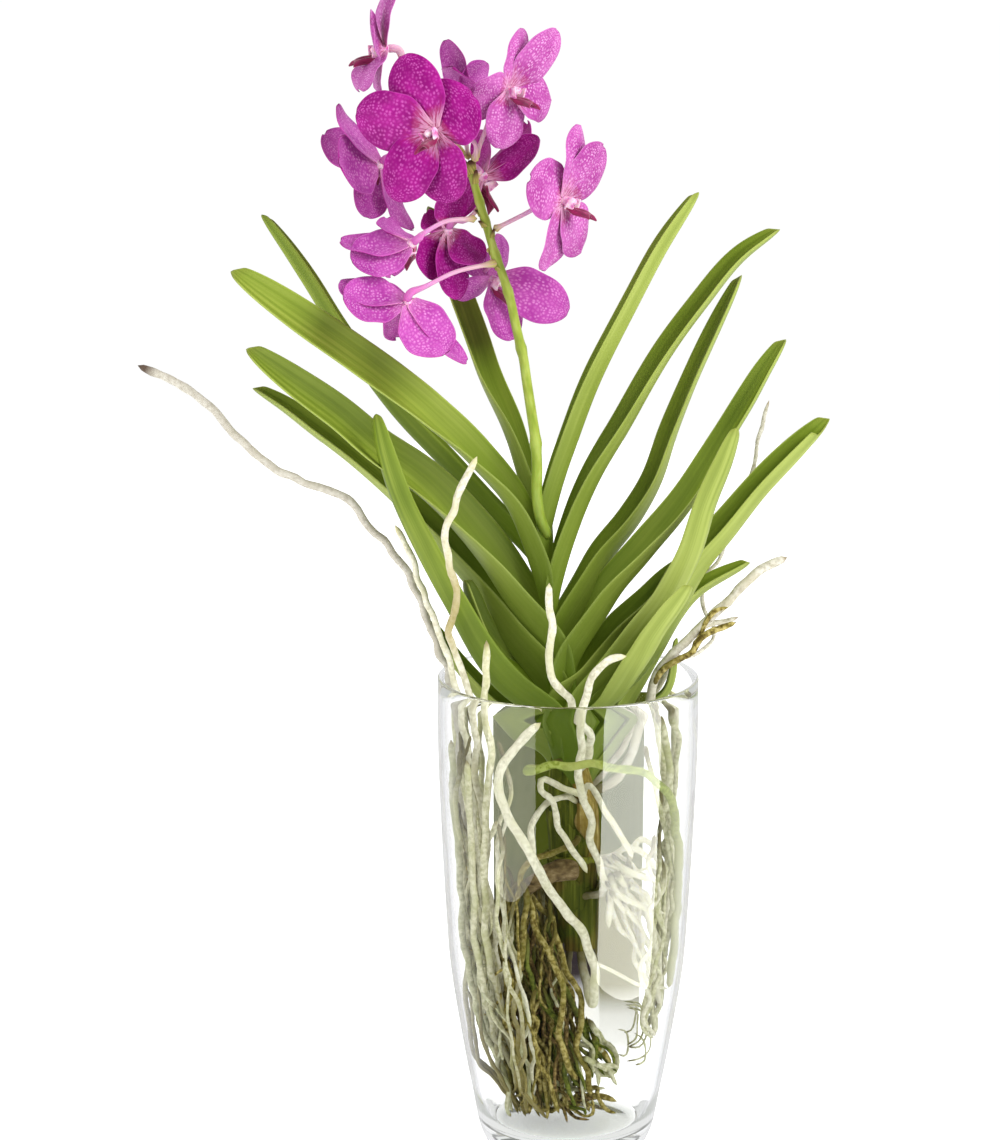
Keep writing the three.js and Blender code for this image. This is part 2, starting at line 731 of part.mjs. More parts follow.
addRoots(
  "roots_left_and_floor",
  [
    [FINE_ROOT, [-30, -6, 36], [-36, -8, 62], [-47, -16, 110], [-55, -22, 163], [-61, -24, 214],
      [-65, -22, 257], [-70, -18, 299], [-76, -14, 333], [-83, -14, 358], [-91, -16, 383],
      [-101, -17, 411], [-109, -18, 432], [-118, -18, 449]],
    [THICK_ROOT, [-30, -6, 36], [-34, -14, 72], [-47, -30, 137], [-54, -38, 190], [-58, -40, 241],
      [-62, -38, 283], [-66, -34, 324], [-72, -30, 350], [-79, -32, 364], [-82, -36, 379],
      [-77, -40, 394], [-77, -43, 412], [-82, -49, 435], [-82, -51, 451], [-72, -52, 482],
      [-62, -52, 502]],
    [THICK_ROOT, [-26, -10, 40], [-41, -30, 93], [-51, -42, 141], [-56, -48, 193], [-57, -50, 244],
      [-53, -52, 287], [-54, -52, 315], [-56, -52, 343], [-56, -52, 377]],
    [FINE_ROOT, [-30, -6, 36], [-54, 18, 74], [-67, 28, 124], [-75, 32, 167], [-82, 30, 220],
      [-84, 26, 272], [-83, 22, 317]],
    [FINE_ROOT, [-30, -6, 36], [-38, 10, 55], [-53, 28, 93], [-66, 40, 142], [-74, 46, 200],
      [-75, 44, 260], [-74, 40, 312]],
    [FINE_ROOT, [-30, -6, 36], [-53, -16, 76], [-65, -26, 121], [-73, -30, 166], [-79, -32, 217],
      [-82, -30, 259], [-82, -26, 301]],
    [FINE_ROOT, [-26, -10, 40], [-38, -22, 64], [-52, -34, 101], [-63, -44, 149], [-71, -52, 202],
      [-74, -54, 252], [-72, -50, 293]],
    [FINE_ROOT, [-30, -6, 36], [-51, -6, 69], [-62, -10, 115], [-68, -14, 160], [-62, -20, 206],
      [-49, -30, 245]],
    [FINE_ROOT, [-30, -6, 36], [-33, 12, 53], [-43, 32, 84], [-54, 46, 132], [-63, 56, 189],
      [-65, 58, 248], [-64, 56, 308]],
    [FINE_ROOT, [6, -6, 226], [8, -20, 228], [-4, -24, 224], [-19, -20, 216], [-32, -16, 206],
      [-33, -20, 199], [-39, -26, 175], [-44, -28, 147], [-41, -26, 113], [-37, -22, 75],
      [-26, -14, 42], [-14, -8, 23]],
    [FINE_ROOT, [-33, -20, 199], [-28, -30, 187], [-30, -34, 167], [-32, -34, 142], [-34, -32, 123],
      [-29, -30, 96], [-21, -26, 73], [-18, -20, 40]],
    [FINE_ROOT, [-33, -20, 199], [-22, -16, 165], [-18, -14, 138], [-22, -14, 116], [-27, -10, 93],
      [-20, -6, 61], [-10, -4, 32]],
    [FINE_ROOT, [-33, -20, 199], [-19, -32, 161], [-6, -36, 140], [-3, -36, 125], [-6, -34, 97],
      [-3, -30, 73], [8, -26, 54]],
    [FINE_ROOT, [-33, -20, 199], [-13, -8, 169], [-6, -18, 151], [-1, -20, 133], [8, -22, 119],
      [10, -22, 101], [8, -20, 70], [14, -18, 58], [18, -14, 37]],
    [FINE_ROOT, [-18, -14, 138], [-10, -4, 126], [0, -4, 113], [3, -8, 104], [11, -10, 94],
      [14, -10, 80], [22, -8, 69], [32, -4, 56]],
    [FINE_ROOT, [11, -10, 94], [24, 2, 76], [36, 4, 63], [38, 2, 55], [33, -2, 49], [18, -6, 54]],
    [FINE_ROOT, [-33, -20, 199], [-47, -14, 160], [-50, -12, 121], [-47, -8, 92], [-41, -4, 59],
      [-30, 0, 33], [-13, 2, 22]],
    [FINE_ROOT, [-44, -28, 147], [-39, -38, 129], [-43, -36, 110], [-39, -32, 82], [-30, -26, 54],
      [-20, -20, 34]],
    [FINE_ROOT, [-14, -8, 23], [1, -4, 27], [15, 0, 32], [36, -6, 31]],
    [THREAD_ROOT, [1, -4, 27], [10, -14, 24], [19, -18, 24], [18, -14, 37]],
  ],
  rootOlive,
);

addRoots(
  "root_diagonal",
  [
    [THICK_ROOT, [8, -2, 150], [12, -14, 128], [16, -30, 112], [19, -40, 126], [16, -44, 148],
      [9, -50, 174], [-3, -54, 187], [-14, -58, 207], [-29, -60, 236], [-41, -58, 257],
      [-48, -56, 274], [-45, -52, 290], [-33, -46, 305], [-19, -40, 317]],
    [THREAD_ROOT, [16, -44, 148], [33, -34, 136], [51, -26, 125], [70, -18, 119]],
  ],
  rootSilver,
);

addRoots(
  "root_hoop",
  [
    [2.8, [-4, -6, 280], [-22, -30, 283], [-30, -50, 286], [-20, -66, 292], [20, -72, 295],
      [47, -66, 289], [67, -52, 273], [78, -36, 240], [80, -26, 201], [78, -18, 154],
      [72, -14, 118]],
  ],
  rootOlive,
);

addRoots(
  "root_centre",
  [
    [THICK_ROOT, [4, -4, 270], [12, -22, 288], [13, -34, 308], [1, -40, 328], [-10, -44, 347],
      [-13, -46, 376], [-14, -46, 415]],
  ],
  rootSilver,
);

addRoots(
  "root_elbow",
  [
    [THICK_ROOT, [8, -4, 182], [24, -18, 192], [20, -29, 214], [15, -36, 240], [11, -42, 263],
      [7, -46, 285], [7, -50, 307], [9, -52, 331], [15, -54, 351], [28, -56, 364], [38, -56, 367]],
  ],
  rootSilver,
);

addRoots(
  "roots_middle",
  [
    [FINE_ROOT, [8, -4, 250], [10, -22, 262], [-6, -30, 268], [-19, -40, 278], [-14, -42, 263],
      [-5, -42, 241], [5, -40, 225], [13, -36, 209]],
    [FINE_ROOT, [8, -4, 250], [15, -26, 268], [20, -32, 262], [33, -38, 239], [44, -38, 220]],
    [FINE_ROOT, [8, -4, 250], [-2, -24, 262], [-12, -34, 260], [-22, -40, 250], [-24, -42, 234],
      [-23, -40, 222]],
  ],
  rootSilver,
);

addRoots(
  "roots_right_high",
  [
    [THICK_ROOT, [8, 2, 252], [35, 0, 268], [47, -2, 294], [55, -4, 320], [60, -9, 337],
      [69, -12, 355], [85, -12, 372], [108, -8, 394], [133, 0, 414], [150, 4, 422]],
    [THREAD_ROOT, [60, -9, 337], [70, -2, 352], [80, 12, 350], [90, 24, 350], [98, 32, 354],
      [104, 34, 361], [99, 36, 370], [95, 38, 380], [96, 40, 394], [101, 40, 405], [108, 40, 424],
      [123, 42, 463], [130, 42, 494], [136, 42, 514], [139, 42, 525]],
    [FINE_ROOT, [8, 2, 252], [36, 22, 276], [54, 30, 304], [66, 28, 328], [75, 24, 346],
      [84, 22, 357], [94, 24, 367], [106, 26, 371], [119, 26, 375]],
  ],
  rootSilver,
);

addRoots(
  "roots_right_wall",
  [
    [FINE_ROOT, [8, 2, 208], [27, -6, 213], [44, -24, 223], [58, -28, 217], [64, -26, 201],
      [60, -22, 171], [60, -14, 136], [66, -4, 101]],
    [FINE_ROOT, [27, -5, 213], [38, -20, 207], [53, -26, 203], [63, -27, 202]],
    [FINE_ROOT, [25, -4, 212], [31, -22, 194], [28, -28, 166]],
    [FINE_ROOT, [21, -2, 211], [42, -8, 195], [54, -6, 177], [62, -4, 152],
      [66, 2, 125], [66, 8, 97]],
    [FINE_ROOT, [29, -14, 203], [35, -30, 193], [53, -36, 186], [66, -32, 179]],
    [FINE_ROOT, [42, -8, 195], [51, 4, 222], [64, 12, 204], [64, 14, 174], [61, 12, 137],
      [66, 8, 100]],
    [THICK_ROOT, [66, 6, 94], [68, 14, 128], [73, 20, 170], [76, 24, 206], [80, 28, 242],
      [82, 29, 267], [81, 29, 293], [77, 30, 312], [72, 28, 322]],
  ],
  rootSilver,
);

export default plant;
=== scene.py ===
import math
import random
from bisect import bisect_right

import bpy
from mathutils import Matrix, Vector, noise


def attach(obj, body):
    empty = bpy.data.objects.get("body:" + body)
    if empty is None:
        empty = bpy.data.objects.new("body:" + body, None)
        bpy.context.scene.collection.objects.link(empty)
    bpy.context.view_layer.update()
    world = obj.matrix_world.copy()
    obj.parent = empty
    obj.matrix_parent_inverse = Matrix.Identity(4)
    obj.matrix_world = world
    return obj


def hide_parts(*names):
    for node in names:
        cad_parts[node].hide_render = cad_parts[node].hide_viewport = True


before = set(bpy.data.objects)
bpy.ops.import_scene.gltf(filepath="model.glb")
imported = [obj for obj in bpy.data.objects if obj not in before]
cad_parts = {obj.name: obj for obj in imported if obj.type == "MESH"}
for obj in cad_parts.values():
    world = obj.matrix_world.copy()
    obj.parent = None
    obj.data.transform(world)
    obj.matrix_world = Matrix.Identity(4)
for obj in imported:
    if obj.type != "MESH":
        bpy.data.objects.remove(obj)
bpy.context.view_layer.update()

bpy.ops.object.select_all(action="DESELECT")
scene = bpy.context.scene
scene.view_settings.view_transform = "Standard"

# ---- Camera --------------------------------------------------------------------------------
# A long lens two metres in front of the vase, at the height of the flowers, tipped down so
# that the rim of the vase shows as an open ellipse.
CAMERA_AT = (-0.0469, -2.0141, 0.8421)
CAMERA_TILT = 78
CAMERA_LENS = 95
bpy.ops.object.camera_add(location=CAMERA_AT, rotation=(math.radians(CAMERA_TILT), 0, 0))
camera = bpy.context.object
camera.data.lens = CAMERA_LENS
scene.camera = camera

# ---- Vase ----------------------------------------------------------------------------------
# A tall vase of blown clear glass: a fire-polished rim, thin walls and a thick heavy foot.
# Its section is drawn as a line and spun round the upright axis into one closed wall.
# Each corner is a radius and a height in mm.
VASE_UNDERSIDE = [(0, 1.4), (30, 1.4), (42, 1.1), (46.5, 0.2)]
VASE_OUTSIDE = [
    (50, 0), (53.5, 0.7), (56, 2.6), (59.5, 9), (62, 16), (66.5, 40), (70, 58), (76.5, 96),
    (82, 134), (85, 177), (88, 235), (90, 293), (90, 338.6),
]
VASE_INSIDE = [
    (86.6, 338.6), (86.6, 293), (84.6, 235), (81.6, 177), (78.6, 134), (73, 96), (66.6, 58),
    (62.2, 36), (58.5, 24.5), (52, 18.5), (44, 17),
]
VASE_BOTTOM = [(30, 16.6), (15, 16.4), (0, 16.3)]
RIM_MIDDLE, RIM_HALF = (88.3, 338.4), (1.7, 1.6)
VASE_FACETS = 96
MM = 0.001


def spline_point(points, share):
    """A point of the smooth curve through points, at a share of the way by their count."""
    place = (len(points) - 1) * share
    i = min(int(place), len(points) - 2)
    w = place - i
    b, c = points[i], points[i + 1]
    a = points[i - 1] if i else b * 2 - c
    d = points[i + 2] if i + 2 < len(points) else c * 2 - b
    step = [math.sqrt(max((q - p).length, 1e-7)) for p, q in ((a, b), (b, c), (c, d))]
    out = ((b - a) / step[0] - (c - a) / (step[0] + step[1]) + (c - b) / step[1]) * step[1]
    into = ((c - b) / step[1] - (d - b) / (step[1] + step[2]) + (d - c) / step[2]) * step[1]
    bend, turn = (c - b) * 3 - out * 2 - into, (b - c) * 2 + out + into
    return b + out * w + bend * w**2 + turn * w**3


def smooth(x, low, high):
    """0 below low, 1 above high, and an even S between them."""
    x = min(1.0, max(0.0, (x - low) / (high - low)))
    return x * x * (3 - 2 * x)


def blend(a, b, share):
    return a + (b - a) * share


def curve(points, steps):
    return [spline_point(points, k / steps) for k in range(steps + 1)]


def section(corners):
    return [Vector((radius * MM, 0, height * MM)) for radius, height in corners]


def pick(obj):
    bpy.ops.object.select_all(action="DESELECT")
    obj.select_set(True)
    bpy.context.view_layer.objects.active = obj


def edit(obj):
    pick(obj)
    bpy.ops.object.mode_set(mode="EDIT")
    bpy.ops.mesh.select_all(action="SELECT")


def close_up(obj):
    """Merges seams and poles, and turns every face outward."""
    edit(obj)
    bpy.ops.mesh.remove_doubles(threshold=1e-5)
    bpy.ops.mesh.normals_make_consistent(inside=False)
    bpy.ops.object.mode_set(mode="OBJECT")


def shade(obj, name, *materials, faceted=False):
    """Names a finished mesh and gives it its materials and its smooth or faceted faces."""
    obj.name = obj.data.name = name
    for material in materials:
        obj.data.materials.append(material)
    pick(obj)
    if not faceted:
        bpy.ops.object.shade_smooth()


def piece(obj, slot, *nodes):
    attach(obj, "root")
    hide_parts(*nodes)


rim = [
    (RIM_MIDDLE[0] + RIM_HALF[0] * math.cos(turn), RIM_MIDDLE[1] + RIM_HALF[1] * math.sin(turn))
    for turn in (math.pi * k / 6 for k in range(1, 6))
]
inside_line = section(rim) + curve(section(VASE_INSIDE), 50) + section(VASE_BOTTOM)
wall_line = section(VASE_UNDERSIDE) + curve(section(VASE_OUTSIDE), 60) + inside_line
bpy.ops.mesh.primitive_plane_add(size=MM, location=(0, 0, 0))
vase = bpy.context.object
edit(vase)
bpy.ops.mesh.merge(type="CENTER")
bpy.ops.transform.translate(value=wall_line[0])
for near, far in zip(wall_line, wall_line[1:]):
    bpy.ops.mesh.extrude_region_move(TRANSFORM_OT_translate={"value": far - near})
bpy.ops.mesh.select_all(action="SELECT")
bpy.ops.mesh.spin(steps=VASE_FACETS, angle=math.tau, center=(0, 0, 0), axis=(0, 0, 1))
bpy.ops.object.mode_set(mode="OBJECT")
close_up(vase)


class Tree:
    """A node tree, with short calls to add nodes and join them."""

    def __init__(self, tree):
        self.tree = tree

    def node(self, kind, inputs=None, **settings):
        made = self.tree.nodes.new("ShaderNode" + kind)
        for key, value in settings.items():
            setattr(made, key, value)
        for key, value in (inputs or {}).items():
            self.feed(value, made.inputs[key])
        return made

    def feed(self, value, socket):
        """Joins a node or a socket to another socket, or sets a plain value there."""
        if isinstance(value, bpy.types.Node):
            value = value.outputs[0]
        if isinstance(value, bpy.types.NodeSocket):
            self.tree.links.new(value, socket)
        else:
            socket.default_value = value

    def math(self, operation, *values):
        return self.node("Math", dict(enumerate(values)), operation=operation).outputs[0]

    def mix(self, factor, a, b):
        return self.node("Mix", {0: factor, 6: a, 7: b}, data_type="RGBA").outputs[2]

    def fade(self, value, low, high, start=0.0, end=1.0):
        """Goes evenly from start to end while the value goes from low to high."""
        return self.node("MapRange", {0: value, 1: low, 2: high, 3: start, 4: end}).outputs[0]

    def ramp(self, value, *stops):
        """Maps a value through stops of (place, colour or grey)."""
        made = self.node("ValToRGB", {0: value})
        while len(made.color_ramp.elements) < len(stops):
            made.color_ramp.elements.new(0.5)
        for element, (place, colour) in zip(made.color_ramp.elements, stops):
            element.position = place
            element.color = colour if isinstance(colour, tuple) else (colour, colour, colour, 1)
        return made.outputs[0]

    def bands(self, value, *stops):
        """Does what ramp does, with places and colours that may come from sockets."""
        (low, colour), *rest = stops
        for high, following in rest:
            colour = self.mix(self.fade(value, low, high), colour, following)
            low = high
        return colour

    def layers(self, colour, *coats):
        """Lays coats, each an amount and a colour, over a colour one after the other."""
        for amount, coat in coats:
            colour = self.mix(amount, colour, coat)
        return colour

    def product(self, first, *others):
        for other in others:
            first = self.math("MULTIPLY", first, other)
        return first

    def scaled(self, source, scale):
        return self.node("Mapping", {0: source, 3: scale}).outputs[0]

    def noise(self, where, scale, detail):
        return self.node("TexNoise", {"Vector": where, "Scale": scale, "Detail": detail}).outputs[0]


class Effect(Tree):
    """A node group with named inputs and outputs, for an effect that several finishes share."""

    def __init__(self, name, takes, gives):
        super().__init__(bpy.data.node_groups.new(name, "ShaderNodeTree"))
        for in_out, sockets in (("INPUT", takes), ("OUTPUT", gives)):
            for socket, kind in sockets.items():
                self.tree.interface.new_socket(name=socket, in_out=in_out, socket_type="NodeSocket" + kind)
        self.given = self.tree.nodes.new("NodeGroupInput").outputs
        self.result = self.tree.nodes.new("NodeGroupOutput").inputs

    def give(self, **values):
        for socket, value in values.items():
            self.feed(value, self.result[socket])


class Finish(Tree):
    """A material with its main shader, whose constant values are given by name."""

    def __init__(self, name, **constants):
        self.material = bpy.data.materials.new(name)
        self.material.use_nodes = True
        super().__init__(self.material.node_tree)
        self.shader = self.tree.nodes["Principled BSDF"]
        for socket, value in constants.items():
            self.shader.inputs[socket.replace("_", " ")].default_value = value

    def where(self, kind):
        """The piece's own UV map, or its Object coordinates."""
        return self.node("TexCoord").outputs[kind]

    def axis(self, kind, number):
        return self.node("SeparateXYZ", {0: self.where(kind)}).outputs[number]

    def effect(self, shared, **values):
        """Places a shared effect with this finish's own values, and returns its outputs."""
        for kind in ("UV", "Object"):
            if kind in shared.given:
                values[kind] = self.where(kind)
        return self.node("Group", values, node_tree=shared.tree).outputs

    def paint(self, value, socket="Base Color"):
        self.feed(value, self.shader.inputs[socket])

    def bump(self, height, strength, distance):
        values = {"Height": height, "Strength": strength, "Distance": distance}
        self.paint(self.node("Bump", values), "Normal")

    def surface(self, shader):
        self.feed(shader, self.tree.nodes["Material Output"].inputs[0])


def rgb(red, green, blue):
    """A colour given as a screen shows it, in the linear values that nodes take."""
    screen = (red, green, blue)
    return (*(((c / 255 + 0.055) / 1.055) ** 2.4 if c > 10 else c / 3295 for c in screen), 1)


# The glass is tinted grey-lilac where it is seen edge on, a painted shade and reflection for
# the dark surroundings its edges would mirror. It lets soft light and shadows through, and
# it stops mirroring after its second reflection.
glass = Finish("vase_glass_clear", Roughness=0.0, IOR=1.48, Transmission_Weight=1.0)
grazing = glass.node("LayerWeight", {0: 0.5}).outputs["Facing"]
glass.paint(glass.ramp(grazing, (0.45, (0.985, 0.993, 0.99, 1)), (0.95, (0.74, 0.73, 0.8, 1))))
path_of_light = glass.node("LightPath").outputs
clear = glass.node("BsdfTransparent", {0: (0.82, 0.83, 0.81, 1)})
deep = glass.math("GREATER_THAN", path_of_light["Glossy Depth"], 1.5)
unseen = glass.math("MAXIMUM", path_of_light["Is Shadow Ray"], path_of_light["Is Diffuse Ray"])
through = glass.math("MAXIMUM", unseen, deep)
glass.surface(glass.node("MixShader", {0: through, 1: glass.shader, 2: clear}))
shade(vase, "vase_blown", glass.material)
piece(vase, "vase_glass", "vase")

# ---- Stem ----------------------------------------------------------------------------------
# The upright stem of the plant, a fibrous core hidden under the clasping bases of old leaves.
# Those sheaths sit left and right in turn, green above and dry and torn lower down. One hangs
# loose in front like straw, over a torn ring and a brown stub that old parts left behind.
STEM_PATH = [
    (7, 0, 144), (5, 2, 192), (3, 3, 235), (0, 4, 278), (-5, 5, 321), (-11, 5, 364), (-16, 4, 403),
]
STUB_PATH = [(6, -8, 203), (-6, -15, 204), (-19, -18, 200), (-30, -17, 190)]
SHEATHS, TORN_SHEATHS, SHEATH_WRAP = 12, 7, 128
SHEATH_THICKNESS, RING_THICKNESS, STRAW_THICKNESS = 0.9, 1.3, 0.8


def metres(points):
    return [Vector(p) * MM for p in points]


def stem_breadth(t):
    return (blend(15, 17, smooth(t, 0, 0.25)) - 8 * smooth(t, 0.35, 0.6) - 6 * smooth(t, 0.6, 1)) * MM


def grid(across, along, place):
    """A grid whose corners are set by place(u, v), with u from -1 to 1 and v from 0 to 1."""
    bpy.ops.mesh.primitive_grid_add(x_subdivisions=across, y_subdivisions=along, size=2)
    obj = bpy.context.object
    for vertex in obj.data.vertices:
        vertex.co = place(vertex.co.x, (vertex.co.y + 1) / 2)
    return obj


def add_modifier(obj, kind, **settings):
    modifier = obj.modifiers.new(kind.title(), kind)
    for key, value in settings.items():
        setattr(modifier, key, value)
    bpy.context.view_layer.objects.active = obj
    bpy.ops.object.modifier_apply(modifier=modifier.name)


def thicken(obj, thickness, levels=1, **more):
    add_modifier(obj, "SOLIDIFY", thickness=thickness, offset=0, use_even_offset=False, **more)
    if levels:
        add_modifier(obj, "SUBSURF", levels=levels, render_levels=levels)


def join(pieces):
    bpy.ops.object.select_all(action="DESELECT")
    for one in pieces:
        one.select_set(True)
    bpy.context.view_layer.objects.active = pieces[0]
    if len(pieces) > 1:
        bpy.ops.object.join()
    return bpy.context.object


stem_line = metres(STEM_PATH)


def off_stem(turn, flat=0.78):
    """The way out from the middle of the stem, which is flatter from front to back."""
    return Vector((math.cos(turn), flat * math.sin(turn), 0))


def stem_core(u, v):
    breadth = stem_breadth(v) * 0.9 * math.sin(math.pi * min(1, max(0, blend(0.08, 0.92, v)) * 12) / 2)
    if v in (0, 1):
        breadth = 0
    turn = math.pi * u
    ribs = 1 + 0.03 * math.sin(9 * turn) + 0.02 * math.sin(23 * turn)
    return spline_point(stem_line, v) + off_stem(turn, 0.76) * breadth * ribs


def sheath(i):
    """The clasping base of an old leaf, far more torn among the lower ones."""
    side = -1 if i % 2 else 1
    low = i / SHEATHS * 0.9
    high = min(0.99, low + 0.17)
    torn = 0.35 if i < TORN_SHEATHS else 0.08

    def place(u, v):
        turn = (0 if side > 0 else math.pi) + u * math.radians(SHEATH_WRAP)
        slope = 0.55 * (1 - abs(u)) + 0.45
        rag = noise.noise(Vector((u * 6, i * 3.7, 1))) + noise.noise(Vector((u * 17, i, 5))) * 0.5
        height = min(0.995, max(0.0, blend(low, blend(low, high, slope * (1 + torn * rag)), v)))
        flare = 0.93 + 0.07 * v + 0.05 * v * v * (1 - abs(u))
        wrinkle = 1 + 0.018 * math.sin(26 * u + i) + 0.03 * noise.noise(Vector((u * 4, v * 3, i)))
        return spline_point(stem_line, height) + off_stem(turn) * stem_breadth(height) * flare * wrinkle

    blade = grid(28, 12, place)
    thicken(blade, SHEATH_THICKNESS * MM, levels=0)
    return blade


def ring(u, v):
    """The torn edge that an old leaf leaves round the stem where it broke off."""
    rag = 1 + 0.05 * noise.noise(Vector((u * 9, v, 3))) + 0.04 * noise.noise(Vector((u * 25, v, 7)))
    lift = Vector((0, 0, 1.5 * noise.noise(Vector((u * 14, 2, v))) * MM))
    around = off_stem(math.pi * u, 0.8) * stem_breadth(0.22) * (1 + 0.14 * v) * rag
    return spline_point(stem_line, 0.225 + 0.02 * v) + around + lift


def old_sheath(u, v):
    """A dry leaf base, torn lengthwise, on the front and right of the stem."""
    ragged = 0.5 + 0.5 * math.sin(math.pi * v) + 0.5 * noise.noise(Vector((3 * (u > 0), v * 7, 2)))
    turn = math.radians(-32 + 50 * u * ragged)
    share = blend(0.24, 0.71, v) + 0.02 * noise.noise(Vector((u * 8, v * 2, 6)))
    wrinkle = 1.04 + 0.05 * abs(u) + 0.03 * math.sin(15 * u + 4 * v)
    return spline_point(stem_line, share) + off_stem(turn) * stem_breadth(share) * wrinkle


class Path:
    """A smooth curve through points in mm, walked by its length."""

    def __init__(self, points):
        self.dots = curve(metres(points), 16 * (len(points) - 1))
        self.reach = [0.0]
        for p, q in zip(self.dots, self.dots[1:]):
            self.reach.append(self.reach[-1] + (q - p).length)
        self.length = self.reach[-1]

    def at(self, share):
        goal = min(1.0, max(0.0, share)) * self.length
        k = min(len(self.dots) - 2, max(0, bisect_right(self.reach, goal) - 1))
        span = self.reach[k + 1] - self.reach[k]
        return self.dots[k].lerp(self.dots[k + 1], (goal - self.reach[k]) / span if span else 0)

    def way(self, share):
        return (self.at(min(1, share + 0.012)) - self.at(max(0, share - 0.012))).normalized()


def tube(points, radius_at, sides=8, step=0.004, blunt=1.0):
    """A closed round tube along points in mm, its radius in metres by share and turn."""
    path = Path(points)
    rows = max(8, round(path.length / step))
    frames = []
    across = path.way(0).orthogonal().normalized()
    for k in range(rows + 1):
        along = path.way(k / rows)
        across = (across - along * across.dot(along)).normalized()
        frames.append((path.at(k / rows), across.copy(), along.cross(across)))

    def place(u, v):
        centre, right, up = frames[round(v * rows)]
        turn = math.pi * (u + 1)
        tall = min(v, 1 - v) * path.length
        radius = radius_at(v, turn)
        cap = blunt * radius
        if tall < cap:
            radius *= math.sqrt(max(0, 1 - (1 - tall / cap) ** 2))
        return centre + (right * math.cos(turn) + up * math.sin(turn)) * radius

    obj = grid(sides, rows, place)
    close_up(obj)
    return obj


def stub_radius(t, turn):
    return (8.5 - 3.5 * t + 1.6 * noise.noise(Vector((math.cos(turn) * 2, math.sin(turn) * 2, t * 5)))) * MM


core = grid(36, 60, stem_core)
close_up(core)
stem = join([core] + [sheath(i) for i in range(SHEATHS)])
collar = grid(60, 4, ring)
thicken(collar, RING_THICKNESS * MM, levels=0)
straw = grid(18, 40, old_sheath)
thicken(straw, STRAW_THICKNESS * MM, levels=0)
stub = tube(STUB_PATH, stub_radius, sides=18, step=0.002, blunt=0.5)

GRAIN = Effect(
    "grain", dict(Place="Vector", Scale="Vector", Detail="Float", Low="Float", Dark="Color", Half="Float",
                  Middle="Color", High="Float", Pale="Color"), dict(Color="Color", Height="Float"))
place, scale, detail, *tones = GRAIN.given[:9]
height = GRAIN.noise(GRAIN.scaled(place, scale), 1.0, detail)
GRAIN.give(Color=GRAIN.bands(height, tones[:2], tones[2:4], tones[4:]), Height=height)


def grained(skin, place, scale, detail, *tones, bump=None):
    """Gives a finish the shared grain: stretched noise in three tones, each at its height."""
    values = {"Place": skin.where(place), "Scale": scale, "Detail": detail}
    for step, tone, (height, colour) in zip(("Low", "Half", "High"), ("Dark", "Middle", "Pale"), tones):
        values[step], values[tone] = height, rgb(*colour)
    grain = skin.effect(GRAIN, **values)
    if bump:
        skin.bump(grain["Height"], *bump)
    return grain["Color"]


sheath_skin = Finish("stem_sheath_fibres", Roughness=0.75, Specular_IOR_Level=0.15)
LENGTHWISE = (420, 420, 18)
green = grained(sheath_skin, "Object", LENGTHWISE, 4, (0.3, (50, 58, 8)), (0.55, (86, 94, 24)),
                (0.75, (134, 138, 56)))
dry = grained(sheath_skin, "Object", LENGTHWISE, 4, (0.3, (56, 46, 14)), (0.55, (104, 90, 34)),
              (0.75, (152, 136, 72)), bump=(0.5, 0.0012))
blotches = sheath_skin.math("MULTIPLY", sheath_skin.noise(sheath_skin.where("Object"), 42.0, 3), 0.9)
age = sheath_skin.math("MULTIPLY_ADD", sheath_skin.axis("Object", 2), -1.15, blotches)
sheath_skin.paint(sheath_skin.mix(sheath_skin.fade(age, 0.2, 0.34), green, dry))

ring_skin = Finish("stem_scar_yellow_green", Roughness=0.7)
ring_skin.paint(grained(ring_skin, "Object", (160, 160, 160), 3, (0.35, (84, 92, 14)),
                        (0.5, (132, 136, 34)), (0.65, (60, 64, 10))))

straw_skin = Finish("stem_old_sheath_straw", Roughness=0.8)
husks = grained(straw_skin, "Object", (380, 380, 16), 4, (0.32, (92, 76, 22)), (0.5, (140, 122, 54)),
                (0.66, (190, 172, 106)), bump=(0.5, 0.001))
mould = straw_skin.fade(straw_skin.noise(straw_skin.where("Object"), 60.0, 3), 0.45, 0.6, 0.0, 0.8)
straw_skin.paint(straw_skin.mix(mould, husks, rgb(112, 88, 22)))

stub_skin = Finish("stem_stub_brown", Roughness=0.8)
stub_skin.paint(grained(stub_skin, "Object", (160, 160, 300), 4, (0.3, (58, 44, 22)),
                        (0.5, (118, 98, 62)), (0.7, (158, 136, 98)), bump=(0.6, 0.001)))

shade(straw, "stem_old_sheath", straw_skin.material)
shade(stub, "stem_old_stub", stub_skin.material)
shade(stem, "stem_sheathed", sheath_skin.material, faceted=True)
shade(collar, "stem_scar", ring_skin.material, faceted=True)
for part in (straw, stem, collar, stub):
    piece(part, "stem_sheath", "stem")

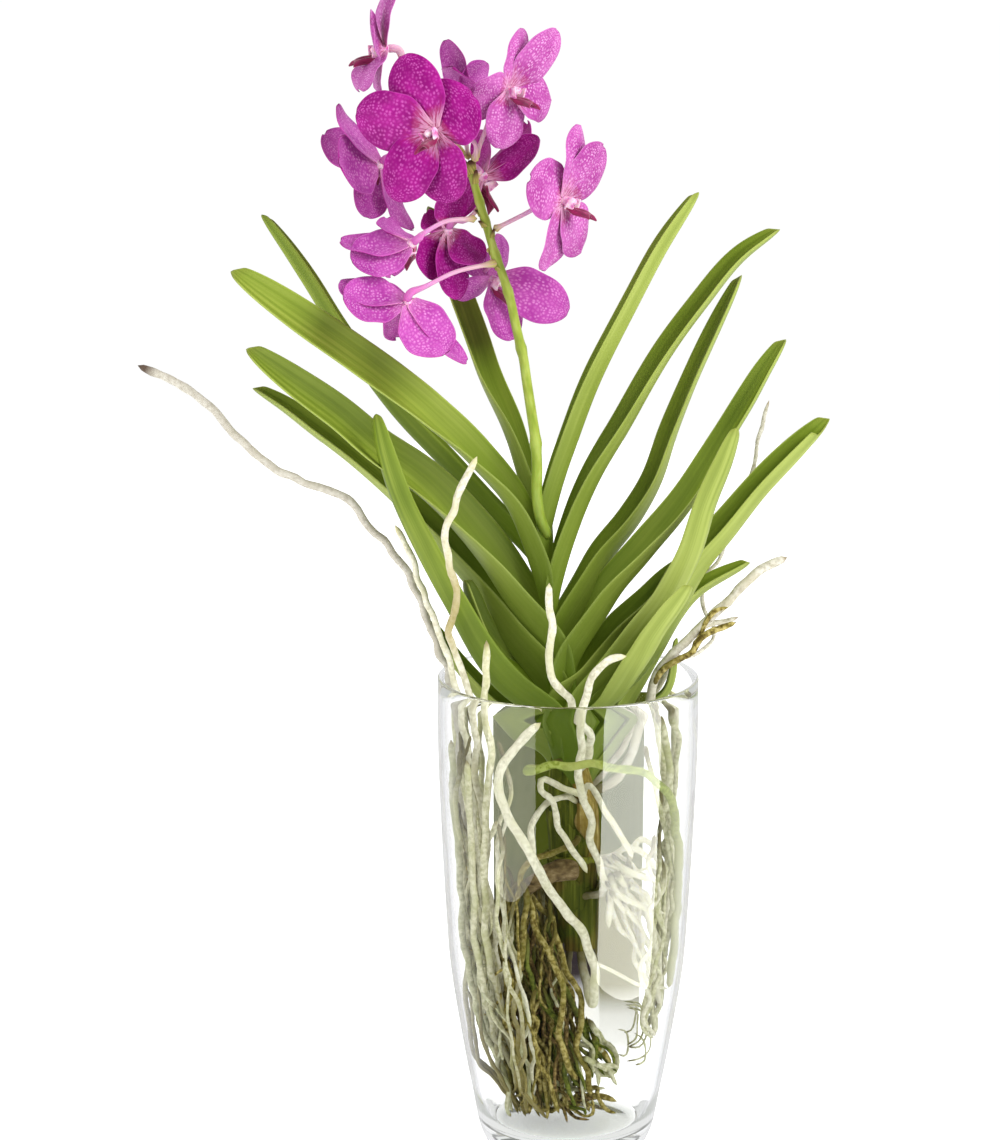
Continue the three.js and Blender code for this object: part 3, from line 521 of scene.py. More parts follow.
# ---- Leaves --------------------------------------------------------------------------------
# Stiff strap leaves in two ranks, folded to a V at the stem, opening and arching outward.
# Each ends in two uneven bitten lobes; fine parallel veins run the whole length.
LEFT_LEAVES = [
    # The first leaf wears the darker upper colour on both faces, painted shade under the leaf above it.
    dict(points=[(-16, 12, 399), (-43, 20, 441), (-78, 30, 480), (-117, 40, 520), (-154, 50, 569),
                 (-178, 56, 607), (-193, 58, 629), (-211, 60, 653)],
         roll=0, opening=78, half=15, base=0.6, upper_skin_both_faces=True),
    # The next two wear a paler copy of the upper colour, which is painted light.
    dict(points=[(-16, 1, 375), (-19, 0, 394), (-32, -4, 457), (-60, -12, 497), (-88, -18, 526),
                 (-115, -24, 548), (-153, -30, 576), (-192, -36, 604), (-224, -40, 626)],
         roll=45, opening=124, half=18, base=0.5, light=True),
    dict(points=[(-14, 3, 333), (-17, 2, 356), (-39, -2, 409), (-64, -8, 447), (-94, -14, 481),
                 (-128, -18, 505), (-154, -22, 528), (-183, -28, 550), (-215, -34, 574)],
         roll=48, opening=105, half=18, base=1.4, light=True),
    dict(points=[(-14, 7, 306), (-18, 8, 329), (-48, 14, 386), (-81, 18, 428), (-109, 22, 457),
                 (-143, 25, 487), (-171, 27, 508), (-194, 28, 525), (-217, 28, 538)],
         roll=25, opening=90, base=1.9),
    dict(points=[(-13, -3, 290), (-22, -5, 314), (-56, -18, 361), (-77, -25, 400), (-95, -30, 433),
                 (-112, -34, 469), (-122, -38, 500), (-129, -40, 530)],
         roll=-45, opening=125, half=13, base=2.1, upper_skin_both_faces=True),
    dict(points=[(-15, 10, 419), (-26, 15, 467), (-37, 24, 508), (-51, 35, 540), (-65, 46, 577),
                 (-81, 54, 619), (-95, 58, 659)], roll=45, opening=115, base=0.45),
    dict(points=[(-16, 3, 300), (-39, 2, 343), (-55, 0, 370), (-70, -8, 410)],
         roll=14, opening=90, half=15, base=1.3),
    dict(points=[(-16, 6, 280), (-59, 14, 326), (-82, 20, 353), (-97, 26, 374)],
         roll=12, opening=90, half=12, base=2),
]
RIGHT_LEAVES = [
    dict(points=[(-14, 1, 414), (-11, 1, 470), (-1, 0, 504), (14, -1, 545), (41, -3, 600), (61, -5, 638),
                 (85, -6, 674)], roll=6, opening=80, half=14.5, base=0.45),
    dict(points=[(-8, -1, 369), (-8, -1, 392), (-2, 0, 435), (13, 4, 476), (36, 10, 516), (62, 18, 561),
                 (89, 26, 597), (115, 32, 627), (144, 36, 646)], roll=24, opening=100, half=14.5, base=0.6),
    dict(points=[(-2, 3, 341), (-1, 5, 365), (20, 14, 418), (41, 22, 445), (57, 30, 471), (69, 38, 505),
                 (83, 44, 539), (99, 50, 573), (119, 58, 612)], roll=20, opening=119, half=13.5, base=1.3),
    dict(points=[(3, -1, 325), (5, -2, 351), (24, -5, 398), (48, -9, 430), (75, -13, 465), (96, -15, 500),
                 (116, -17, 534), (129, -19, 557), (143, -20, 578)], roll=27, opening=114, half=15, base=1.3),
    dict(points=[(8, -3, 296), (12, -6, 324), (43, -20, 373), (66, -32, 406), (80, -40, 434), (90, -47, 470),
                 (101, -52, 499), (109, -56, 523)], roll=-50, opening=125, half=13, base=1.3),
    dict(points=[(17, 4, 296), (56, 4, 364), (84, 8, 416), (106, 12, 442), (131, 16, 472), (157, 20, 498),
                 (179, 24, 518)], roll=22, opening=63, half=19, notch=0.045),
    dict(points=[(19, 8, 273), (59, 16, 354), (87, 18, 395), (126, 20, 417)], roll=15, opening=90, half=12),
    dict(points=[(19, -6, 308), (39, -30, 350), (57, -50, 384), (79, -62, 418)], roll=-40, opening=120),
    dict(points=[(7, 6, 311), (14, 8, 333), (31, 16, 368), (55, 22, 392), (79, 26, 416)],
         roll=20, opening=95, base=2.3),
    dict(points=[(18, 10, 262), (48, 14, 308), (69, 14, 326), (75, 14, 364)], roll=5, opening=60, half=6),
]
LEAF_FOOT = 42
LEAF_THICKNESS = 1.5


def leaf_breadth(t, base):
    end = math.sqrt(max(0, 1 - max(0, (t - 0.78) / 0.225) ** 2))
    from_base = blend(base, 1, smooth(t, 0, 0.14 if base < 1 else 0.5))
    fuller = (0.34 if base > 0.9 else 0.1) * (smooth(t, 0, 0.15) - smooth(t, 0.35, 0.8))
    return from_base * end * blend(1, 0.9, smooth(t, 0.3, 0.9)) * (1 + fuller)


def stem_x(z):
    """Where the middle of the stem is, across, at a height in mm."""
    bottom, top = STEM_PATH[0][2], STEM_PATH[-1][2]
    share = min(1, max(0, (z - bottom) / (top - bottom)))
    return spline_point(stem_line, share).x / MM


def fold(u):
    """How far a leaf's half rises from its keel: a V with a rounded bottom."""
    soft = 0.1
    return (math.hypot(u, soft) - soft) / (math.hypot(1, soft) - soft)


def leaf(side, seed, points, roll, opening, half=14, base=0.95, upper_skin_both_faces=False, light=False, notch=0.0):
    """One blade from its foot in the stem to its bitten tip; side is -1 left and 1 right."""
    x, y, z = points[0]
    foot = (stem_x(z - LEAF_FOOT) + 5 * side, 3 + 0.3 * y, z - LEAF_FOOT)
    path = Path([foot, *points])
    clasp = LEAF_FOOT * MM / path.length

    def place(u, v):
        bite = 0.005 * (1 - abs(u)) ** 2 + 0.012 * u * u + max(0, 0.01 * u) + notch * smooth(-u, 0, 0.3)
        share = v - bite * v**14
        t = max(0, (share - clasp) / (1 - clasp))
        along = path.way(share)
        away = (Vector((0, 1, 0)) - along * along.y).normalized()
        inward = away.cross(along) * -side
        turn = math.radians(roll) * smooth(t, 0.05, 0.7)
        far = away * math.cos(turn) + inward * math.sin(turn)
        up = inward * math.cos(turn) - away * math.sin(turn)
        spread = math.radians(blend(75, opening, smooth(t, 0, 0.8)) / 2)
        width = half * MM * leaf_breadth(t, base) * blend(0.3, 1, smooth(share, 0, clasp))
        width *= 1 + 0.025 * noise.noise(Vector((t * 9, seed * 5.1, 3 * (u > 0))))
        rise, reach = math.cos(spread) * math.cos(turn), math.sin(spread) * math.sin(abs(turn))
        middle = (rise + reach + min(0, rise - reach)) / 2
        bow = 0.1 * width * (1 - (2 * abs(u) - 1) ** 2) * smooth(t, 0.1, 0.4)
        return (
            path.at(share) + far * (u * width * math.sin(spread))
            + up * (fold(u) * width * math.cos(spread) - bow) - inward * (middle * width * smooth(t, 0, 0.25))
        )

    blade = grid(12, 48, place)
    # A leaf marked light gets the paler copy of the upper colour, which is painted light.
    upper = LEAF_UPPER_PAINTED_LIT if light else LEAF_UPPER
    # A leaf marked this way wears the upper colour on both faces; on the top left leaf that is painted shade.
    for material in (upper, upper if upper_skin_both_faces else LEAF_UNDER)[::-side]:
        blade.data.materials.append(material)
    edge = 1 if side < 0 else 0
    thicken(blade, LEAF_THICKNESS * MM, material_offset=1, material_offset_rim=edge)
    return blade


def leaf_stripes():
    """Stripes along a leaf, with a darker keel of painted shade in the fold, a paler margin that
    is partly a painted highlight, a dry tip, and a deep green foot that is partly painted shade
    and that glows with painted light.
    """
    group = Effect(
        "leaf_stripes", dict(UV="Vector", Object="Vector", Low="Color", Middle="Color", High="Color",
                             Edge="Color"), dict(Color="Color", Glow="Color", Height="Float"))
    uv, place, low, middle, high, edge = group.given[:6]
    across, along = group.node("SeparateXYZ", {0: uv}).outputs[:2]
    veins = group.noise(group.scaled(uv, (26, 0.9, 1)), 1.0, 1)
    broad = group.noise(group.scaled(uv, (6, 1.6, 1)), 1.0, 2)
    cloud = group.math("MULTIPLY", group.noise(place, 14.0, 2), 0.4)
    from_keel = group.math("ABSOLUTE", group.math("SUBTRACT", across, 0.5))
    tone = group.math("MULTIPLY_ADD", broad, 0.6, cloud)
    colour = group.layers(
        group.bands(tone, (0.3, low), (0.5, middle), (0.7, high)),
        (group.fade(veins, 0.35, 0.65, 0.0, 0.3), low),
        # The paler margin is partly the leaf's own colour and partly a painted highlight on its edges.
        (group.fade(from_keel, 0.47, 0.5, 0.0, 0.25), edge),
        # The darker keel is painted shade in the bottom of the fold.
        (group.fade(from_keel, 0.0, 0.03, 0.4, 0.0), low),
        # The deep green foot is partly the leaf's own colour and partly painted shade where the bases crowd
        # round the stem inside the vase.
        (group.fade(along, 0.12, 0.62, 0.95, 0.0), rgb(70, 90, 12)),
        (group.fade(along, 0.975, 1.0, 0.0, 0.4), rgb(110, 112, 48)))
    # Painted light: the foot emits its own colour, fading out towards the tip.
    painted_glow = group.mix(group.fade(along, 0.1, 0.55, 1.0, 0.0), (0, 0, 0, 1), colour)
    group.give(Color=colour, Glow=painted_glow, Height=veins)
    return group


LEAF_STRIPES = leaf_stripes()


def leaf_finish(name, low, middle, high, edge):
    """A leathery green skin; its base glows a little, painted light that lifts the shade among the leaf
    bases.
    """
    skin = Finish(name, Roughness=0.45, Specular_IOR_Level=0.35, Emission_Strength=0.4)
    stripes = skin.effect(LEAF_STRIPES, Low=rgb(*low), Middle=rgb(*middle), High=rgb(*high), Edge=rgb(*edge))
    skin.paint(stripes["Color"])
    skin.paint(stripes["Glow"], "Emission Color")
    skin.bump(stripes["Height"], 0.2, 0.001)
    return skin.material


LEAF_UPPER = leaf_finish("leaf_green_upper", (88, 108, 22), (114, 134, 38), (140, 156, 56), (164, 178, 92))
# This lighter copy of the upper colour is painted light, for the second and third left leaves.
LEAF_UPPER_PAINTED_LIT = leaf_finish("leaf_green_upper_painted_lit", (104, 124, 34), (132, 150, 52), (158, 172, 74), (176, 190, 106))
LEAF_UNDER = leaf_finish("leaf_green_under", (122, 138, 52), (148, 162, 72), (170, 182, 94), (182, 194, 112))
for rank, side, leaves in (("left", -1, LEFT_LEAVES), ("right", 1, RIGHT_LEAVES)):
    for number, shape in enumerate(leaves, 1):
        blade = leaf(side, number + 10 * side, **shape)
        shade(blade, f"strap_leaf_{rank}_{number}")
        piece(blade, "leaf_green", f"leaf_{rank}_{number}")

# ---- Flower stem ---------------------------------------------------------------------------
# A round jointed stalk from between the upper leaves, zigzagging slightly where the blooms sit.
# It is drawn as one tube that swells at each joint, and gets a dry bract under every bloom.
SPIKE_PATH = [
    (-14, 2, 436), (-20, -12, 454), (-22, -17, 471), (-22, -16, 490), (-23, -14, 507), (-25, -11, 520),
    (-27, -9, 533), (-29, -7, 546), (-31, -6, 560), (-34, -4, 573), (-37, -3, 586), (-40, -2, 600),
    (-46, -2, 619), (-51, -2, 633), (-56, 0, 650), (-60, 2, 663), (-64, 3, 677), (-67, 4, 691),
]
SPIKE_NODES = (0.28, 0.52, 0.665, 0.76, 0.85, 0.9, 0.97)
SPIKE_FOOT, SPIKE_TIP = 3.9, 2.6


def spike_radius(t, turn):
    swell = sum(0.22 * math.exp(-((t - node) / 0.012) ** 2) for node in SPIKE_NODES)
    return blend(SPIKE_FOOT, SPIKE_TIP, t) * (1 + swell) * MM


spike = tube(SPIKE_PATH, spike_radius, sides=16, step=0.003)
spike_skin = Finish("flower_stem_yellow_green", Roughness=0.45, Subsurface_Weight=0.1, Subsurface_Scale=0.002)
stalk_green = grained(spike_skin, "UV", (5, 16, 1), 3, (0.3, (122, 142, 44)), (0.5, (148, 164, 64)),
                      (0.7, (170, 184, 92)), bump=(0.1, 0.0005))
greener_foot = spike_skin.fade(spike_skin.axis("UV", 1), 0.0, 0.4, 0.55, 0.0)
spike_skin.paint(spike_skin.mix(greener_foot, stalk_green, rgb(112, 140, 40)))
shade(spike, "flower_stem_stalk", spike_skin.material)
piece(spike, "flower_stem_green", "flower_stem")

# ---- Blooms --------------------------------------------------------------------------------
# Flat open orchid flowers, each of three sepals and two petals on short claws round a column.
# The faces are magenta with a net of paler spots; the backs are paler lilac with fine veins.
BLOOMS = [
    dict(at=(-123, 0, 766), faces=(-0.93, -0.32, 0.05),
         tepals=[(-119, 0, 812, 14, 1), (-131, -28, 784, 15, -3), (-123, 30, 781, 15, 0),
                 (-140, -14, 740, 14, -19), (-131, 22, 739, 14, 0)],
         stalk=[(-71, 8, 694), (-92, 14, 729), (-111, 8, 758)]),
    dict(at=(-90, -38, 714), faces=(-0.5, -0.85, 0.02),
         tepals=[(-110, -34, 763, 17, 5), (-141, -28, 726, 18, -10), (-64, -46, 738, 21, -4),
                 (-118, -34, 670, 16, -6), (-80, -44, 668, 18, 5)],
         stalk=[(-64, 4, 691), (-63, -6, 703), (-71, -22, 710)]),
    dict(at=(-73, 46, 727), faces=(0.2, 0.9, 0.35),
         tepals=[(-83, 50, 770, 13, -36), (-56, 50, 755, 14, 53), (-79, 36, 753, 14, -37),
                 (-88, 46, 716, 12, 0), (-73, 52, 711, 10, 0)],
         stalk=[(-68, 10, 692), (-71, 26, 711)]),
    dict(at=(-41, -20, 740), faces=(0.75, -0.62, 0.05),
         tepals=[(-33, -20, 780, 14, 13), (-66, -36, 736, 16, -33), (-13, 4, 732, 16, -11),
                 (-47, -26, 702, 15, 7), (-9, -8, 778, 15, 11)],
         stalk=[(-64, 8, 692), (-56, 2, 714)]),
    dict(at=(-128, 24, 688), faces=(-0.72, 0.35, -0.6),
         tepals=[(-156, 20, 728, 13, 5), (-166, 40, 707, 15, -29), (-154, -6, 691, 19, -13),
                 (-136, 14, 653, 14, 7), (-107, 32, 643, 13, 0)],
         stalk=[(-67, 8, 687), (-98, 16, 689)]),
    dict(at=(-58, 26, 680), faces=(0.6, 0.2, -0.77),
         tepals=[(-28, 60, 713, 13, 6), (-20, 20, 705, 14, 24), (-63, 50, 707, 13, -26),
                 (-89, 36, 655, 16, -31), (-60, 52, 658, 12, -12)],
         stalk=[(-63, 4, 681), (-60, 14, 684)]),
    dict(at=(-5, -20, 668), faces=(0.88, -0.46, 0.02),
         tepals=[(6, -16, 717, 14, 1), (-27, -44, 684, 18, -7), (22, 0, 702, 17, 3),
                 (-18, -28, 622, 14, -2), (7, -4, 631, 16, 7)],
         stalk=[(-52, 2, 646), (-30, -8, 658)]),
    dict(at=(-105, -22, 640), faces=(-0.6, 0.65, -0.45),
         tepals=[(-153, -14, 640, 14, 31), (-145, -30, 629, 17, 23), (-123, 2, 654, 13, 9),
                 (-120, -6, 617, 13, -15), (-140, 12, 630, 13, 0)],
         stalk=[(-62, 0, 654), (-83, -10, 653), (-99, -20, 645)]),
    dict(at=(-108, -40, 604), faces=(-0.25, 0.75, -0.6),
         tepals=[(-150, -48, 607, 16, 2), (-153, -28, 615, 15, 22), (-83, -46, 569, 17, 4),
                 (-116, -22, 577, 14, -41), (-69, -16, 560, 13, -27)],
         stalk=[(-48, -3, 625), (-76, -14, 620), (-96, -28, 612)]),
    dict(at=(-82, 12, 645), faces=(-0.35, 0.45, -0.8),
         tepals=[(-76, 8, 674, 14, 19), (-97, 16, 656, 12, 1), (-58, 14, 625, 14, 10),
                 (-93, 6, 612, 16, -25), (-75, 4, 599, 14, -10)],
         stalk=[(-60, 6, 661), (-71, 12, 651)]),
    dict(at=(-52, 29, 610), faces=(0.75, -0.62, -0.2),
         tepals=[(-47, 37, 640, 13, 7), (-82, 35, 634, 14, 25), (0, 25, 589, 17, -26),
                 (-39, 23, 569, 15, 3), (-83, 29, 601, 13, -23)],
         stalk=[(-54, 2, 635), (-52, 12, 624)]),
]
PETAL_THICKNESS, CLAW, COLUMN_BEHIND = 0.8, 1.2, 9


def tepal_breadth(v):
    blade = 1 if v < 0.58 else max(0, 1 - ((v - 0.58) / 0.425) ** 2) ** 0.58
    return (blend(0.2, 1, smooth(v, -0.1, 0.38)) * blade + 0.02) * 1.12


def tepal(centre, front, tip, wave, skins):
    """A sepal or petal on its short claw, bowed, ruffled and creased; tip holds its end, half
    breadth and twist."""
    *end, half, twist = tip
    along = Vector(end) * MM - centre
    length = along.length
    along.normalize()
    face = (front - along * front.dot(along)).normalized()
    face = Matrix.Rotation(math.radians(twist), 3, along) @ face
    side = along.cross(face)

    def place(u, v):
        v = 1 - (1 - v) ** 1.35
        bow = 3.2 * math.sin(math.pi * v) + 1.4 * u * u * (math.sin(5 * v + wave) - smooth(v, 0, 0.5))
        ruffle = 0.9 * u * u * math.sin(11 * v + 3 * u + wave * 2) * smooth(v, 0.25, 0.6)
        crease = -0.7 * math.exp(-(u / 0.12) ** 2) * math.sin(math.pi * min(1, v * 1.1))
        lump = 0.8 * noise.noise(Vector((u * 1.7, v * 2.3, wave))) * smooth(v, 0.1, 0.5)
        point = centre + along * (CLAW * MM + (length - CLAW * MM) * v)
        point += side * (u * half * MM * tepal_breadth(v))
        return point + face * ((bow + ruffle + crease + lump) * MM)

    blade = grid(12, 16, place)
    for skin in skins:
        blade.data.materials.append(skin)
    thicken(blade, PETAL_THICKNESS * MM, material_offset=1, material_offset_rim=0)
    return blade


def petal_cells():
    """A fan of small cells, darker between them, with a paler spot in many of them; the heart
    is pale with crimson flecks, and the tip and margin are touched with another tint."""
    group = Effect(
        "petal_cells", dict(UV="Vector", Object="Vector", Deep="Color", Mid="Color", Pale="Color",
                            Spots="Float", Heart="Float"), dict(Color="Color", Height="Float"))
    uv, place, deep, mid, pale, spots, heart = group.given[:7]
    across, along = group.node("SeparateXYZ", {0: uv}).outputs[:2]
    cells = group.scaled(uv, (15, 21, 1))
    drift = group.node("TexNoise", {"Vector": cells, "Scale": 0.5, "Detail": 2}).outputs["Color"]
    bent = group.node("VectorMath", {0: cells, 1: group.scaled(drift, (0.6, 0.6, 0.6))}, operation="ADD")
    cell = {"Vector": bent, "Scale": 1.0, "Randomness": 0.8}
    dots, net = (
        group.node("TexVoronoi", cell, voronoi_dimensions="2D", feature=feature).outputs["Distance"]
        for feature in ("F1", "DISTANCE_TO_EDGE"))
    patches = group.noise(place, 55.0, 3)
    lots = group.noise(group.scaled(uv, (5, 5, 1)), 1.0, 2)
    streaks = group.noise(group.scaled(uv, (16, 9, 1)), 1.0, 2)
    from_middle = group.math("ABSOLUTE", group.math("SUBTRACT", across, 0.5))

    spotted = group.product(
        group.fade(dots, 0.14, 0.42, 1.0, 0.0), group.fade(lots, 0.35, 0.6, 0.15, 1.0),
        group.fade(from_middle, 0.38, 0.48, 1.0, 0.1), spots)
    hearted = group.product(group.fade(along, 0.0, 0.2, 0.8, 0.0), heart)
    flecked = group.product(
        group.fade(streaks, 0.5, 0.58, 0.0, 0.85), group.fade(along, 0.12, 0.3, 1.0, 0.0), heart)
    colour = group.layers(
        group.mix(group.fade(patches, 0.38, 0.62), deep, mid),
        (group.fade(net, 0.0, 0.16, 0.55, 0.0), deep), (spotted, pale),
        (hearted, rgb(236, 190, 206)), (flecked, rgb(150, 16, 84)),
        (group.fade(along, 0.975, 1.0, 0.0, 0.85), rgb(96, 34, 74)),
        (group.fade(from_middle, 0.475, 0.5, 0.0, 0.35), pale))
    group.give(Color=colour, Height=net)
    return group


PETAL_CELLS = petal_cells()


def petal_finish(name, deep, mid, pale, spots, heart, painted_glow):
    """A petal skin, which emits a little of its own colour, painted light that lifts shaded petals."""
    skin = Finish(name, Roughness=0.5, Specular_IOR_Level=0.2, Subsurface_Weight=0.12, Subsurface_Scale=0.003,
                  Subsurface_Radius=(1.0, 0.3, 0.7), Emission_Strength=painted_glow)
    cells = skin.effect(
        PETAL_CELLS, Deep=rgb(*deep), Mid=rgb(*mid), Pale=rgb(*pale), Spots=spots, Heart=heart)
    skin.paint(cells["Color"])
    skin.paint(cells["Color"], "Emission Color")
    skin.bump(cells["Height"], 0.35, 0.0006)
    return skin.material


petal_face = petal_finish(
    "petal_face_magenta", (132, 8, 108), (164, 28, 136), (208, 100, 186), 0.6, 1.0, 0.03)
# A paler copy of the face colour, painted light, worn on both sides by blooms 1, 4 and 7.
petal_face_painted_lit = petal_finish(
    "petal_face_pink_painted_lit", (156, 60, 138), (182, 94, 166), (226, 170, 216), 0.65, 0.8, 0.04)
# The backs are given the most emission, painted light on blooms that turn away from the lamps.
petal_back = petal_finish(
    "petal_back_lilac", (150, 52, 138), (176, 80, 162), (220, 152, 208), 0.55, 0.2, 0.2)
PAINTED_LIT_BLOOMS, PAINTED_SHADE_BACK_BLOOMS = (1, 4, 7), (2, 6, 10)
BLOOM_SKINS = {number: (petal_face_painted_lit, petal_face_painted_lit) for number in PAINTED_LIT_BLOOMS}
# Blooms 2, 6 and 10 also wear the deeper face colour on their backs, which is painted shade.
BLOOM_SKINS.update({number: (petal_face, petal_face) for number in PAINTED_SHADE_BACK_BLOOMS})
BLOOM_SKINS[11] = (petal_back, petal_back)
lip_skin = Finish("lip_crimson_velvet", Roughness=0.45, Sheen_Weight=0.3)
crimson = grained(lip_skin, "UV", (12, 2, 1), 3, (0.3, (104, 4, 54)), (0.6, (142, 14, 78)),
                  (0.8, (176, 50, 108)))
paler_foot = lip_skin.fade(lip_skin.axis("UV", 1), 0.0, 0.12, 0.5, 0.0)
lip_skin.paint(lip_skin.mix(paler_foot, crimson, rgb(206, 130, 150)))
column_skin = Finish("column_pink_white", Roughness=0.4, Subsurface_Weight=0.2, Subsurface_Scale=0.003)
column_skin.paint(grained(column_skin, "Object", (260, 260, 260), 3, (0.35, (196, 92, 160)),
                          (0.5, (232, 178, 210)), (0.7, (246, 226, 228))))


def stalk_ribs():
    """Ribs along a flower stalk: yellow-green at its foot, then white that turns to another tint."""
    group = Effect(
        "stalk_ribs", dict(UV="Vector", Middle="Color", End="Color", Ridge="Color"), dict(Color="Color"))
    uv, middle, end, ridge = group.given[:4]
    along = group.node("SeparateXYZ", {0: uv}).outputs[1]
    ribs = group.noise(group.scaled(uv, (14, 3, 1)), 1.0, 2)
    length = group.bands(
        along, (0.05, rgb(190, 188, 84)), (0.16, rgb(226, 196, 196)), (0.6, middle), (1.0, end))
    group.give(Color=group.mix(group.fade(ribs, 0.35, 0.65, 0.0, 0.5), length, ridge))
    return group


STALK_RIBS = stalk_ribs()


def stalk_finish(name, middle, end, ridge):
    skin = Finish(name, Roughness=0.5, Subsurface_Weight=0.15, Subsurface_Scale=0.002)
    skin.paint(skin.effect(STALK_RIBS, Middle=rgb(*middle), End=rgb(*end), Ridge=rgb(*ridge))["Color"])
    return skin.material


stalk_pink = stalk_finish("flower_stalk_pink", (214, 150, 196), (196, 84, 170), (190, 96, 170))
stalk_white = stalk_finish("flower_stalk_white", (228, 216, 190), (214, 150, 192), (222, 190, 190))


def lip(turn):
    """A thick forked tongue with three ridges, and an ear on either side of its foot."""
    def place(u, v):
        half = 4.4 + 1.6 * smooth(v, 0.55, 0.95) - 1.4 * math.sin(math.pi * v) * smooth(v, 0.1, 0.4)
        fork = 3.2 * (1 - abs(u)) * v**6
        ridge = 0.9 * math.cos(3 * math.pi * u) * math.sin(math.pi * v)
        hang = 3.6 * u * u * smooth(v, 0, 0.3)
        point = Vector((u * half, -5.5 - 4 * v * v - hang + ridge, blend(4, 23, v) - fork))
        return turn @ (point * MM)

    def ear(side):
        def place(u, v):
            outward, forward = side * (3.4 + 2.4 * v), 6 + u * (3.8 - 1.6 * v) + 2 * v
            return turn @ (Vector((outward, -6.5 + 8 * v, forward)) * MM)

        return grid(5, 5, place)

    parts = [grid(10, 16, place), ear(-1), ear(1)]
    for part, thickness, skin in zip(parts, (1.9, 1.1, 1.1), (lip_skin, column_skin, column_skin)):
        part.data.materials.append(skin.material)
        thicken(part, thickness * MM)
    return join(parts)


def column(turn):
    """The blunt column in the middle of a bloom."""
    def place(u, v):
        around = math.pi * (u + 1)
        radius = 4.1 * math.sqrt(max(0, 1 - (2 * v - 1) ** 4)) * blend(1, 0.72, v)
        across, up = radius * math.cos(around), radius * math.sin(around) * 0.9 - 1.2 * v
        return turn @ (Vector((across, up, blend(-3, 10, v))) * MM)

    obj = grid(14, 14, place)
    close_up(obj)
    return obj


bract_skin = Finish("flower_bract_dry", Roughness=0.6)
dry_veins = bract_skin.noise(bract_skin.scaled(bract_skin.where("UV"), (9, 1, 1)), 1.0, 2)
husk = bract_skin.ramp(dry_veins, (0.35, rgb(120, 118, 44)), (0.65, rgb(178, 168, 88)))
bract_skin.paint(bract_skin.mix(bract_skin.fade(bract_skin.axis("UV", 1), 0.3, 0.8), husk, rgb(78, 48, 28)))
spike_line = Path(SPIKE_PATH)


def bract(base, facing, height):
    """A small scale that clasps the flower stem under a stalk and ends in a point."""
    share = min((k / 200 for k in range(200)), key=lambda k: abs(spike_line.at(k).z - base * MM))
    centre, along = spike_line.at(share), spike_line.way(share)
    outward = Vector(facing)
    outward = (outward - along * along.dot(outward)).normalized()
    beside = along.cross(outward)

    def place(u, v):
        turn = u * math.radians(75) * max(0.05, 1 - v) ** 0.6
        reach = spike_radius(share, 0) * 1.02 + (0.5 + 1.4 * v * v) * MM
        side = outward * math.cos(turn) + beside * math.sin(turn)
        return centre + along * (v * height * MM) + side * reach

    scale = grid(8, 8, place)
    thicken(scale, 0.5 * MM)
    return scale


scales = []
for bloom in BLOOMS:
    foot, second = bloom["stalk"][:2]
    scales.append(bract(foot[2] - 5, Vector(second) - Vector(foot), 5.5))
scales.append(bract(683, (-1, -0.9, 0), 11))
scales.append(bract(676, (1, -0.9, 0), 9))
bracts = join(scales)
shade(bracts, "flower_stem_bracts", bract_skin.material)
piece(bracts, "flower_stem_green", "flower_stem")

for number, bloom in enumerate(BLOOMS, 1):
    name = f"bloom_{number:02d}"
    centre = Vector(bloom["at"]) * MM
    front = Vector(bloom["faces"]).normalized()
    upper = Vector(bloom["tepals"][0][:3]) * MM
    right = (upper - centre).cross(front).normalized()
    turn = Matrix.Translation(centre) @ Matrix((right, front.cross(right), front)).transposed().to_4x4()
    skins = BLOOM_SKINS.get(number, (petal_face, petal_back))
    blades = [tepal(centre, front, tip, number - 1 + 1.7 * k, skins) for k, tip in enumerate(bloom["tepals"])]
    flower = join(blades)
    shade(flower, name + "_petals")
    piece(flower, "petal_pink", name)
    heart = column(turn)
    shade(heart, name + "_column", column_skin.material)
    piece(heart, "petal_pink", name)
    behind = (centre - front * COLUMN_BEHIND * MM) / MM
    ribbed = [*bloom["stalk"], behind, centre / MM]

    def stalk_radius(t, around):
        foot = 1.5 * (1 - smooth(t, 0.02, 0.14))
        ribs = 1 + 0.1 * math.cos(3 * around + 4 * t) * smooth(t, 0.3, 0.6)
        return (1.5 + foot + 1.2 * smooth(t, 0.55, 0.95)) * ribs * MM

    stalk = tube(ribbed, stalk_radius, sides=18, step=0.003, blunt=0.6)
    shade(stalk, name + "_stalk", stalk_white if number == 1 else stalk_pink)
    piece(stalk, "petal_pink", name)
    tongue = lip(turn)
    shade(tongue, name + "_tongue")
    piece(tongue, "lip_crimson", name + "_lip")

